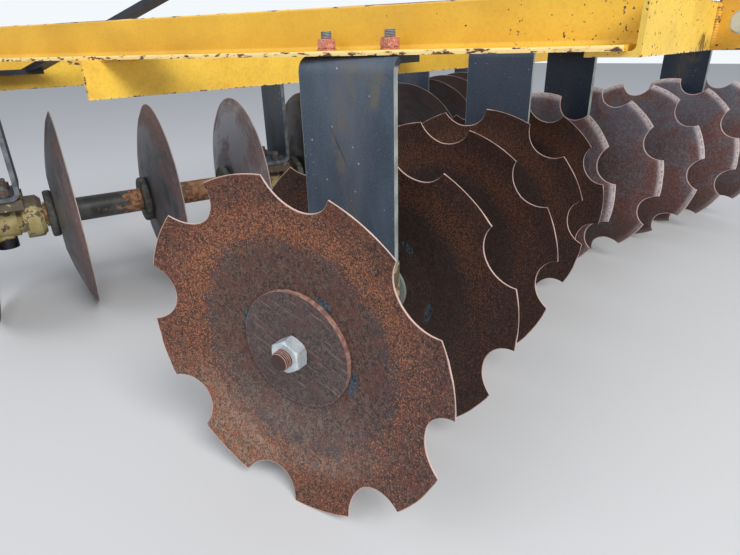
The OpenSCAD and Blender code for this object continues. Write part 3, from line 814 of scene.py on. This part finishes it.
# %% [markdown]
# A notched blade's hollow face is plum in the middle and brown outside, with a ring of bright rust, paler
# painted light low down, painted shade on the blades behind the nearest, and a few dark marks beside the
# washer that also stand for its painted shadow. An image would fit one blade only. This finish fits all five,
# because it reads what the blade's tree stored.

# %% Hollow face of a notched blade
WASHER_MARKS_AND_SHADOW = ((-0.0905, 0.018), (0.050, 0.079), (0.0905, -0.033))
MARKS_R = 0.0945


class BladeFinish(Finish):
    def __init__(self, name, gang, specular=0.5):
        super().__init__(name, specular)
        self.spot = self.place(gang.first, gang.turn)
        _, self.across, self.up = self.parts(self.spot)
        self.forward = self.across * gang.side
        self.radius, self.rim_gap, self.back, self.seed = [self.stored(label) for label in BLADE_NOTES]


def bright_speckle(net, cloud, fine, tiny):
    """Grains of bright rust, thickest in a ring and on its upper half."""
    upper = 0.25 + 0.75 * net.up.ramp(-0.10, 0.16)
    speckle = (tiny + 0.35 * (fine - 0.5) + 0.13 * net.radius.near(0.185, 0.05) * upper).ramp(0.60, 0.68)
    return speckle * (0.15 + 0.85 * (net.radius + 0.03 * (cloud - 0.5)).ramp(0.135, 0.17))


# Partly painted shadow: the dark marks beside the washer also stand for the washer's shadow on the blade.
def marks_and_shadow_by_washer(net):
    marks = 0.0
    for ahead, above in WASHER_MARKS_AND_SHADOW:
        marks = (net.forward.near(ahead, 0.016) * net.up.near(above, 0.034)).most(marks)
    ragged = 0.35 * (net.noise(net.spot, 0.004, 4.0) - 0.5)
    return (marks * net.radius.near(MARKS_R, 0.010) + ragged).ramp(0.16, 0.32)


def hollow_face(net, grain, cloud, fine, speckle):
    up, forward, radius = net.up, net.forward, net.radius
    low = up.ramp(-0.02, -0.16)
    outside = (radius + 0.05 * (cloud - 0.5)).ramp(0.145, 0.172)
    # Painted light: the lower part of the hollow, which faces up, is painted a paler grey.
    soil_and_painted_light = low * radius.ramp(0.215, 0.185) * cloud.ramp(0.2, 0.5)
    front_rim = forward.ramp(0.06, 0.17) * up.ramp(0.13, 0.02)
    rear_rim = low * forward.ramp(0.03, -0.08) * radius.ramp(0.17, 0.20)
    patches = (net.noise(net.spot, 0.012, 5.0, 0.7) + 0.20 * radius.near(0.158, 0.03)).ramp(0.66, 0.72)
    pits = (net.noise(net.spot, 0.0016, 3.0, 0.6) + 0.04 * radius.ramp(0.145, 0.19)).ramp(0.60, 0.66)
    # Painted shade: the blades behind the nearest one are darkened, their speckle too.
    shade_on_blades_behind = net.seed.ramp(BLADES - 1.2, BLADES - 1.8)
    grains = net.blend(fine.ramp(0.4, 0.6), (142, 82, 56), (186, 122, 84))
    grains = net.blend(shade_on_blades_behind * 0.6, grains, (62, 38, 26))
    mark_and_shadow_tint = net.blend(fine.ramp(0.4, 0.6), (26, 38, 50), (76, 94, 106))
    return net.layers(
        net.rust(grain, (50, 38, 35), (106, 83, 73), (94, 56, 49)),
        (outside, net.rust(grain, (47, 32, 30), (116, 78, 62), (106, 56, 43))),
        (soil_and_painted_light * 0.65, net.rust(grain, (84, 74, 70), (132, 119, 112), (108, 82, 76))),
        (front_rim * 0.7, net.rust(grain, (46, 35, 35), (104, 78, 74), (98, 58, 54))),
        (rear_rim * 0.6, net.rust(grain, (92, 70, 60), (170, 144, 124), (150, 88, 62))),
        (patches * 0.5, (60, 60, 66)),
        (shade_on_blades_behind * 0.66, (34, 25, 24)),
        (speckle * 0.7, grains),
        (pits * 0.5, (42, 32, 32)),
        (marks_and_shadow_by_washer(net) * 0.85, mark_and_shadow_tint),
        (net.rim_gap.ramp(0.0012, 0.0005) * 0.8, (206, 172, 158)))


print(len(WASHER_MARKS_AND_SHADOW), "dark marks beside each washer")

# %% [markdown]
# The bulging face rubs against the soil, so it is slate grey with red patches, and the ground bevel at its
# rim is frosted with pale wear, painted stronger where light falls on the upper front. Its upper part gets a
# painted blue-grey reflection of the sky, and its lower part painted shade. It could be a second material,
# but one that mixes by the stored side has no seam.

# %% Bulging face, and the whole notched blade
def bulging_face(net, grain, fine, ground):
    up, forward, radius, rim_gap = net.up, net.forward, net.radius, net.rim_gap
    high = up.ramp(-0.10, 0.16)
    red = (net.noise(net.spot, 0.05, 4.0) + 0.08 * rim_gap.ramp(0.09, 0.02) - 0.14 * high).ramp(0.42, 0.58)
    lit = (up * 0.8 + forward * 0.6).ramp(-0.05, 0.18)
    outermost = radius.ramp(BLADE_R - 0.014, BLADE_R - 0.002)
    # Painted light: the frost is strongest where light falls, on the upper front.
    frost_and_light = (0.35 + 0.65 * (fine + 0.25 * outermost).ramp(0.42, 0.62)) * (0.15 + 0.7 * lit)
    frost = net.blend(fine.ramp(0.4, 0.62), (226, 218, 222), (150, 134, 138))
    return net.layers(
        net.rust(grain, (72, 64, 70), (114, 104, 111), (98, 70, 67)),
        # Painted reflection: the upper part of the bulging face, which tilts towards the sky, is tinted
        # blue-grey.
        (up.ramp(0.05, 0.20) * 0.4, (98, 106, 122)),
        (red * 0.75, net.rust(grain, (78, 52, 48), (122, 84, 76), (108, 60, 50))),
        # Painted shade: the lower part of the bulging face, which tilts down, is painted darker.
        (up.ramp(-0.04, -0.18) * 0.5, (62, 54, 48)),
        ((fine + 0.06).ramp(0.60, 0.74) * 0.4, (146, 104, 84)),
        (ground * frost_and_light, frost),
        (rim_gap.ramp(0.0030, 0.0012) * 0.8, (222, 196, 190)))


def notched_finish(name, gang):
    net = BladeFinish(name, gang, specular=0.4)
    grain = net.grain(net.spot)
    cloud = net.noise(net.spot, 0.035, 5.0, 0.62)
    fine = net.noise(net.spot, 0.0022, 4.0, 0.65)
    tiny = net.noise(net.spot, 0.0011, 2.0)
    speckle = bright_speckle(net, cloud, fine, tiny)
    ground = (net.radius + 0.010 * (fine - 0.5)).ramp(BLADE_R - 0.018, BLADE_R - 0.010)
    hollow = hollow_face(net, grain, cloud, fine, speckle)
    base = net.blend(net.back, hollow, bulging_face(net, grain, fine, ground))
    height = cloud + 0.5 * speckle + 0.3 * tiny
    return net.end(base, 0.62 + 0.18 * fine - 0.15 * ground * net.back, height, 0.45, 0.0009)


print("the bevel's band is", round(1000 * (BLADE_R - 0.018)), "to", round(1000 * BLADE_R), "mm from the axle")

# %% [markdown]
# A rear blade is smooth, and the soil has turned against it for years: faint rings run round the axle, the
# middle is dark and rust comes in from the rim. Rings by radius alone would be too even. Noise that reads
# the radius finely and the turn hardly at all leaves them broken, as they are.

# %% Smooth blade
PALEST_BLADE = 3.0
SHADED_RIGHT_SEEDS = (3.2, 3.8)


def smooth_finish(name, gang):
    net = BladeFinish(name, gang)
    radius, rim_gap = net.radius, net.rim_gap
    turned = net.vector(radius, 0.0, net.across.angle_over(net.up) * 0.02)
    rings = net.noise(turned, 0.004, 4.0, 0.6)
    cloud = net.noise(net.spot, 0.05, 5.0, 0.6)
    fine = net.noise(net.spot, 0.004, 4.0, 0.65)
    hub = (0.12 * (cloud - 0.5) + radius).ramp(0.115, 0.08)
    rust = (cloud + 0.3 * (rings - 0.5) + 0.14 * rim_gap.ramp(0.07, 0.015)).ramp(0.48, 0.70)
    rusty = net.rust(net.grain(net.spot, 0.002), (74, 54, 53), (118, 86, 80), (106, 62, 54))
    # Painted shade: on the right gang the blade at the inner end, and on the left gang every blade, is
    # painted darker.
    painted_shade_blades = net.seed.ramp(*SHADED_RIGHT_SEEDS) if gang.side > 0 else 1.0
    steel = net.blend((0.6 * cloud + 0.4 * rings).ramp(0.38, 0.62), (84, 86, 92), (124, 122, 124))
    base = net.layers(
        steel,
        (net.seed.near(PALEST_BLADE, 0.9) * 0.8, (146, 147, 156)),
        (hub * 0.75, (44, 50, 66)),
        (rust * 0.75, rusty),
        (fine.ramp(0.64, 0.76) * 0.4, (150, 112, 92)),
        (painted_shade_blades * 0.7, (58, 40, 37)),
        (rim_gap.ramp(0.0018, 0.0008) * 0.7, (190, 176, 164)))
    height = cloud + 0.4 * fine + 0.3 * rings
    return net.end(base, 0.38 + 0.3 * rust + 0.15 * fine, height, 0.3, 0.0008, 0.3 * (1 - rust))


print("blade", round(PALEST_BLADE) + 1, "of a rear gang is the palest")

# %% [markdown]
# Each gang's five blades come from the same tree with their own turn and seed. They are joined into one
# piece that rides on the gang's body and stands for the plain CAD blades. Five linked copies would be less
# work, but every real blade stopped at its own turn on the bolt, and that shows.

# %% Cut the blades
NOTCH_TURNS = {"front_right": (20.9, 38.5, 5.6, 19.2, 11.0), "front_left": (20.8, 27.5, 44.6, 29.5, 34.8)}
NO_NOTCH = 0.00001


def join(name, made, matrix=None):
    """One object from several, with its place in its mesh. Each piece keeps its one finish."""
    whole = bmesh.new()
    finishes = []
    for piece in made:
        part = piece.data
        finish = part.materials[-1]
        if finish not in finishes:
            finishes.append(finish)
        part.polygons.foreach_set("material_index", [finishes.index(finish)] * len(part.polygons))
        if matrix is not None:
            part.transform(matrix)
        whole.from_mesh(part)
        bpy.data.objects.remove(piece)
    mesh = bpy.data.meshes.new(name)
    whole.to_mesh(mesh)
    whole.free()
    for finish in finishes:
        mesh.materials.append(finish)
    return add_object(name, mesh)


def cut_blades(gang):
    finish = (notched_finish if gang.notched else smooth_finish)("blade_" + gang.name, gang)
    turns = NOTCH_TURNS.get(gang.name, (0.0,) * BLADES)
    notch = {} if gang.notched else {"Notch_radius": NO_NOTCH, "Notch_depth": NO_NOTCH}
    made = []
    for k, turn in enumerate(turns):
        blade = run_tree(blade_tree, f"blade_{gang.name}_{k}", Turn=math.radians(turn), Seed=float(k),
                         Finish=finish, **notch)
        blade.data.transform(Matrix.Translation((k * SPACING, 0, 0)))
        made.append(blade)
    blades = join("cut_blades_" + gang.name, made, gang.matrix)
    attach(blades, gang.body)
    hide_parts("blades_" + gang.name)
    return blades


for gang in gangs.values():
    blades = cut_blades(gang)
    print(blades.name, len(blades.data.polygons), "faces")

# %% [markdown]
# A thread could be a screw modifier and a nut a bevelled cylinder, but both are one more sheet, bent round
# an axis. Its columns run round and its rows climb. A formula gives the radius at each height: a hexagon
# cut by a cone for a nut, and a ridge that winds up for a thread.

# %% Trees for nuts and threads
NUT_STEPS = 4
CHAMFER = 0.16
THREAD_ROWS = 72


def round_grid(shape, columns, rows):
    """A flat grid that reaches once round an axis, with each point's turn and the number of its row."""
    grid, x, row = shape.flat_grid(columns, rows)
    return grid, (x / columns + 0.5) * (2 * math.pi), row


def end_round(shape, grid, radius, turn, height):
    place = shape.vector(radius * turn.cosine(), radius * turn.sine(), height)
    return shape.end_sheet(grid, place, 0.00001, 28)


def make_nut_tree():
    nut = Shape("hexagon_nut", {"Across flats": 0.019, "Height": 0.011, "Hole": 0.0062})
    rows = 2 * NUT_STEPS + 3
    grid, turn, row = round_grid(nut, 48, rows)
    half = nut["Across flats"] / 2
    sixth = math.pi / 3
    side = half / (turn % sixth - sixth / 2).cosine()
    from_end = (row - 1).least(rows - 1 - row).least(NUT_STEPS)
    outside = from_end > -0.5
    depth = half * CHAMFER * (from_end.most(0.0) / NUT_STEPS)
    cone = half * 0.97 + depth * 1.7
    radius = nut.pick(outside, nut["Hole"], side.least(cone))
    top = row > rows / 2
    height = nut.pick(top, depth, nut["Height"] - depth)
    height = nut.pick(outside, nut.pick(top, 0.0, nut["Height"]), height)
    return end_round(nut, grid, radius, turn, height)


def make_thread_tree():
    thread = Shape("threaded_end", {"Radius": 0.006, "Pitch": 0.00175, "Depth": 0.0008, "Length": 0.02})
    grid, turn, row = round_grid(thread, 32, THREAD_ROWS)
    share = ((row - 2) / (THREAD_ROWS - 4)).most(0.0).least(1.0)
    height = share * thread["Length"]
    groove = abs((height / thread["Pitch"] - turn / (2 * math.pi)) % 1.0 - 0.5) * 2
    taper = ((thread["Length"] - height) / (thread["Depth"] * 1.2)).least(1.0)
    body = (thread["Radius"] - thread["Depth"] * groove) * (0.9 + 0.1 * taper)
    grid = thread.note(grid, "ridge", (1 - groove) * (row < THREAD_ROWS - 1.5))
    capped = (row > 0.5) * (row < THREAD_ROWS - 0.5)
    return end_round(thread, grid, body * capped, turn, height)


nut_tree = make_nut_tree()
thread_tree = make_thread_tree()
print("nut tree", len(nut_tree.nodes), "nodes, thread tree", len(thread_tree.nodes), "nodes")

# %% [markdown]
# The gang bolt is a square bar that ends in a thread, and its nut clamps the blades, spools and washers
# together. The bar and its head could come from a tree too, but two plain boxes do. They are joined with
# the thread, because the construction's bolt is one piece.

# %% Gang bolts and nuts
BACK_FACE = -DISH - BLADE_T - WASHER_T
NUT_FACE = GANG_L - DISH + WASHER_T
BOLT_SIDE = 0.028
HEAD_SIDE = 0.040
HEAD_H = 0.016
THREAD_D = 0.028
THREAD_PITCH = 0.003
THREAD_DEPTH = 0.0017
THREAD_OUT = 0.013
NUT_AF = 0.044
NUT_H = 0.022
TUCK = 0.001
TO_AXLE = Matrix(((0, 0, 1), (0, 1, 0), (-1, 0, 0))).to_4x4()


def square_bar(name, low, high, side, bevel=0.0):
    shape = bmesh.new()
    bmesh.ops.create_cube(shape, size=1.0)
    bmesh.ops.scale(shape, vec=(high - low, side, side), verts=shape.verts)
    bmesh.ops.translate(shape, vec=((low + high) / 2, 0, 0), verts=shape.verts)
    if bevel:
        bmesh.ops.bevel(shape, geom=shape.edges[:], offset=bevel, segments=2, affect="EDGES", profile=0.5)
    mesh = bpy.data.meshes.new(name)
    shape.to_mesh(mesh)
    shape.free()
    mesh.materials.append(old_bolt)
    return add_object(name, mesh)


def build_gang_bolt(gang):
    bar = square_bar("bar", BACK_FACE - TUCK, NUT_FACE - TUCK, BOLT_SIDE)
    head = square_bar("head", BACK_FACE - HEAD_H, BACK_FACE, HEAD_SIDE, 0.002)
    thread = run_tree(thread_tree, "thread", Radius=THREAD_D / 2, Pitch=THREAD_PITCH, Depth=THREAD_DEPTH,
                      Length=NUT_H + THREAD_OUT + 2 * TUCK, Finish=gang_thread)
    thread.data.transform(Matrix.Translation((NUT_FACE - 2 * TUCK, 0, 0)) @ TO_AXLE)
    bolt = join("turned_bolt_" + gang.name, [thread, bar, head], gang.matrix)
    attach(bolt, gang.body)
    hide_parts("gang_bolt_" + gang.name)
    nut = run_tree(nut_tree, "chamfered_nut_" + gang.name, Across_flats=NUT_AF, Height=NUT_H,
                   Hole=THREAD_D / 2 + 0.0001, Finish=zinc)
    nut.data.transform(gang.matrix @ Matrix.Translation((NUT_FACE, 0, 0)) @ TO_AXLE)
    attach(nut, gang.body)
    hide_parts("gang_nut_" + gang.name)


for gang in gangs.values():
    build_gang_bolt(gang)
print("four gang bolts and nuts")

# %% [markdown]
# Two bolts through a rail's leg hold each standard, and four hold each bearing under its standard's foot.
# Their places could be typed in, but they follow from the rails and the gangs. A nut's turn depends on
# where it is, so that the nuts didn't all stop at the same flat.

# %% Where the bolts go
ANGLE_T = 0.0064
STANDARD_T = 0.010
FOOT_TOP = 0.320
LEG_TO_BOLT = 0.028
ALONG_RAIL = (-0.0458, 0.0494)
ALONG_AXLE = (-0.022, 0.024)
FIRST_TURN = 0.4
TURN_BY_X = 7.0
TURN_BY_Y = 5.0
RAIL_TOP = FRAME_Z + ANGLE_T
FLANGE_LOW = FRAME_Z - STANDARD_T
# For notched gangs and for smooth ones: the upper bearing's place, how far past it the standard's web is,
# how far its top reaches back, and how far aside the foot's bolts are.
HANGERS = {True: (FRONT_BEARING, STANDARD_REACH, 0.072, 0.027), False: (0.764, 0.054, 0.124, 0.050)}


def bolt_places():
    """Each place is a point and a turn: two on each rail over a standard, and four on each foot."""
    tops, feet = [], []
    for gang in gangs.values():
        upper, web, top_reach, aside = HANGERS[gang.notched]
        run = Vector((-math.sin(RAIL_TURN) * gang.side, math.cos(RAIL_TURN), 0))
        inward = Vector((-math.cos(RAIL_TURN) * gang.side, -math.sin(RAIL_TURN), 0))
        for bearing in (upper, LOWER_BEARING):
            on_side_rail = (bearing == upper) == gang.notched
            corner = rail_corner(gang.side, FRONT_BEARING if on_side_rail else LOWER_BEARING)
            flange = gang.first + gang.along * (bearing + web + STANDARD_T / 2 - top_reach / 2)
            middle = corner + inward * LEG_TO_BOLT + run * (flange - corner).dot(run)
            for step in ALONG_RAIL:
                spot = middle + run * step
                tops.append((Vector((spot.x, spot.y, RAIL_TOP)), FIRST_TURN + TURN_BY_X * spot.x))
            for ahead in ALONG_AXLE:
                for across in (-aside, aside):
                    spot = gang.matrix @ Vector((bearing + ahead, across, 0))
                    feet.append((Vector((spot.x, spot.y, FOOT_TOP)), TURN_BY_Y * spot.y))
    return tops, feet


rail_spots, bearing_spots = bolt_places()
print(len(rail_spots), "bolts on the rails and", len(bearing_spots), "on the bearings")

# %% [markdown]
# One bolt is made once, as a washer, a nut and the end of a thread, and Geometry Nodes sets a copy on every
# point. A loop could copy objects too, but a tree keeps the places and the part separate, so either can
# change.

# %% Bolts on the rails and bearings
BOLT_AF = 0.0235
BOLT_R = 0.0078
BOLT_PITCH = 0.0019
BOLT_DEPTH = 0.001
NO_THREAD = {"Pitch": 0.5, "Depth": 0.00001}
NO_HOLE = 0.0001
NUT_TALL = 0.0125
HEAD_TALL = 0.008
UNDER_NUT = 0.0026
UNDER_R = 0.0134
BOLT_END = 0.0095


def make_copies_tree():
    copies = Shape("copies_on_points", part="Part")
    part = copies.add("GeometryNodeObjectInfo", {"transform_space": "ORIGINAL", "out": 4}, copies["Part"])
    turn = copies.add("GeometryNodeInputNamedAttribute", {"data_type": "FLOAT"}, "turn")
    return copies.end(copies.add("GeometryNodeInstanceOnPoints", None, copies["Geometry"], Instance=part,
                                 Rotation=copies.vector(0.0, 0.0, turn)))


def set_copies(name, part, finish, spots):
    points = bpy.data.meshes.new(name + "_points")
    points.from_pydata([tuple(place) for place, _ in spots], [], [])
    points.attributes.new("turn", "FLOAT", "POINT").data.foreach_set("value", [turn for _, turn in spots])
    made = run_tree(copies_tree, name, points, Part=part, Finish=finish)
    bpy.data.objects.remove(part)
    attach(made, "root")
    return made


def raised(tree, name, low, **values):
    """A turned part that stands at a height above the origin."""
    made = run_tree(tree, name, **values)
    made.data.transform(Matrix.Translation((0, 0, low)))
    return made


def place_bolts(name, spots, finish):
    pieces = [
        raised(thread_tree, "washer", 0.0, Radius=UNDER_R, Length=UNDER_NUT, Finish=finish, **NO_THREAD),
        raised(nut_tree, "nut", UNDER_NUT, Across_flats=BOLT_AF, Height=NUT_TALL, Hole=BOLT_R, Finish=finish)]
    if name == "rail":
        pieces.append(raised(nut_tree, "head", FLANGE_LOW - RAIL_TOP - HEAD_TALL, Across_flats=BOLT_AF,
                             Height=HEAD_TALL, Hole=NO_HOLE, Finish=finish))
    nuts = set_copies(name + "_nuts", join("nut_set", pieces), finish, spots)
    end = run_tree(thread_tree, "end", Radius=BOLT_R, Pitch=BOLT_PITCH, Depth=BOLT_DEPTH,
                   Length=UNDER_NUT + NUT_TALL + BOLT_END, Finish=bolt_thread)
    ends = set_copies(name + "_bolt_ends", end, bolt_thread, spots)
    print(name, "bolts:", len(spots))


copies_tree = make_copies_tree()
place_bolts("rail", rail_spots, coral)
place_bolts("bearing", bearing_spots, old_bolt)

# %% [markdown]
# The frame was welded by hand, and the beads were painted over. A bead could be a bevelled curve, but its
# ripples would be smooth bands. It is the same sheet bent round a line, with a ripple and some noise along
# it.

# %% Weld beads
BEAD_ROWS = 64
BEAD_R = 0.0045
PLATE_BEAD_R = 0.005


def make_bead_tree():
    bead = Shape("weld_bead", {"Length": 0.06, "Radius": 0.005, "Ripple": 0.0035, "Seed": 0.0})
    grid, turn, row = round_grid(bead, 16, BEAD_ROWS)
    share = ((row - 1) / (BEAD_ROWS - 2)).most(0.0).least(1.0)
    height = (share - 0.5) * bead["Length"]
    wobble = bead.seeded_noise(bead.vector(height, turn * 0.004, 0.0), bead["Seed"], 90.0, 2.0)
    scales = 0.86 + 0.14 * abs((height / bead["Ripple"] * math.pi).sine()) + 0.35 * (wobble - 0.5)
    ends = (((0.5 - abs(share - 0.5)) * 12).least(1.0)).root()
    capped = (row > 0.5) * (row < BEAD_ROWS - 0.5)
    return end_round(bead, grid, bead["Radius"] * scales * ends * capped, turn, height)


def weld_finish():
    net = Finish("weld_rust")
    place = net.place()
    cloud = net.noise(place, 0.006, 4.0, 0.6)
    paint = net.noise(place, 0.008, 3.0).ramp(0.40, 0.46)
    rust = net.blend(cloud.ramp(0.35, 0.65), (96, 66, 50), (146, 104, 62))
    base = net.blend(paint, rust, (224, 170, 62))
    return net.end(base, 0.75 - 0.25 * paint, cloud, 0.4, 0.0006)


def lay_bead(start, end, radius, seed):
    line = end - start
    made = run_tree(bead_tree, "bead", Length=line.length, Radius=radius, Seed=seed, Finish=weld)
    upright_to_line = line.to_track_quat("Z", "X").to_matrix().to_4x4()
    made.data.transform(Matrix.Translation((start + end) / 2) @ upright_to_line)
    return made


bead_tree = make_bead_tree()
weld = weld_finish()
print("bead tree", len(bead_tree.nodes), "nodes")

# %% [markdown]
# Beads lie where the rails sit on the middle and rear cross angles, and at the hitch plates. Their ends
# could be typed in, but worked out from the boxes of those pieces each bead stays in its corner.

# %% Weld the frame
def rail_beads(name):
    """Beads behind a cross angle, one along the foot of each rail."""
    _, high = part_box(name)
    y = high.y + TUCK
    across = LEG / math.cos(RAIL_TURN)
    for side in (1, -1):
        for bearing in (FRONT_BEARING, LOWER_BEARING):
            corner = rail_corner(side, bearing)
            toe = corner.x + side * (corner.y - high.y) * math.tan(RAIL_TURN)
            start = Vector((toe + side * TUCK, y, FRAME_Z))
            yield lay_bead(start, Vector((toe - side * across, y, FRAME_Z)), BEAD_R, toe)


def plate_beads(name):
    """Upright beads on both sides of a hitch plate, where it meets the front cross angle."""
    _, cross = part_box("front_cross")
    low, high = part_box(name)
    y = cross.y + TUCK
    for x in (low.x, high.x):
        yield lay_bead(Vector((x, y, low.z + 0.004)), Vector((x, y, cross.z - 0.002)), PLATE_BEAD_R, x)


made = [*rail_beads("mid_cross"), *rail_beads("rear_cross"), *plate_beads("hitch_plate_right"),
        *plate_beads("hitch_plate_left")]
beads = join("weld_beads", made)
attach(beads, "root")
print("weld beads:", len(made))

# %% [markdown]
# The stage is a pale floor under soft light. A sky image would put reflections of some other place on the
# steel, so a plain pale world and two large square lamps light it: one high in front, and a weaker one at
# the side.

# %% Stage
FLOOR_HALF = 14.0
LAMP_SIDE = 3.0
FLOOR_TINT = (0.62, 0.63, 0.65, 1.0)
GLOW = (0.80, 0.84, 0.90, 1.0)
BACKDROP = (0.90, 0.94, 0.97, 1.0)


def lay_floor():
    mesh = bpy.data.meshes.new("floor")
    corners = [(x * FLOOR_HALF, y * FLOOR_HALF, 0) for x, y in ((-1, -1), (1, -1), (1, 1), (-1, 1))]
    mesh.from_pydata(corners, [], [(0, 1, 2, 3)])
    mesh.materials.append(Finish("pale_floor", specular=0.2).end(FLOOR_TINT, 0.9))
    add_object("floor", mesh)


def light_world():
    world = bpy.data.worlds.new("studio")
    bpy.context.scene.world = world
    world.use_nodes = True
    net = Net(world.node_tree)
    sky = world.node_tree.nodes["Background"]
    seen = net.add("ShaderNodeLightPath")
    net.put(net.blend(seen, GLOW, BACKDROP), sky.inputs["Color"])
    net.put(0.62 + 0.38 * seen, sky.inputs["Strength"])


def hang_lamp(name, place, aim, power, tint):
    light = bpy.data.lights.new(name, "AREA")
    light.size = LAMP_SIDE
    light.energy = power
    light.color = tint
    toward = Vector(aim) - Vector(place)
    turn = toward.to_track_quat("-Z", "Y").to_matrix().to_4x4()
    add_object(name, light).matrix_world = Matrix.Translation(place) @ turn


lay_floor()
light_world()
hang_lamp("key", (1.9, 5.0, 4.6), aim=(0.4, 0.2, 0.3), power=340, tint=(1.0, 0.98, 0.94))
hang_lamp("fill", (4.6, -0.5, 3.4), aim=(0.5, 0, 0.3), power=60, tint=(1.0, 1.0, 1.0))
bpy.context.scene.view_settings.view_transform = "Standard"

# %% [markdown]
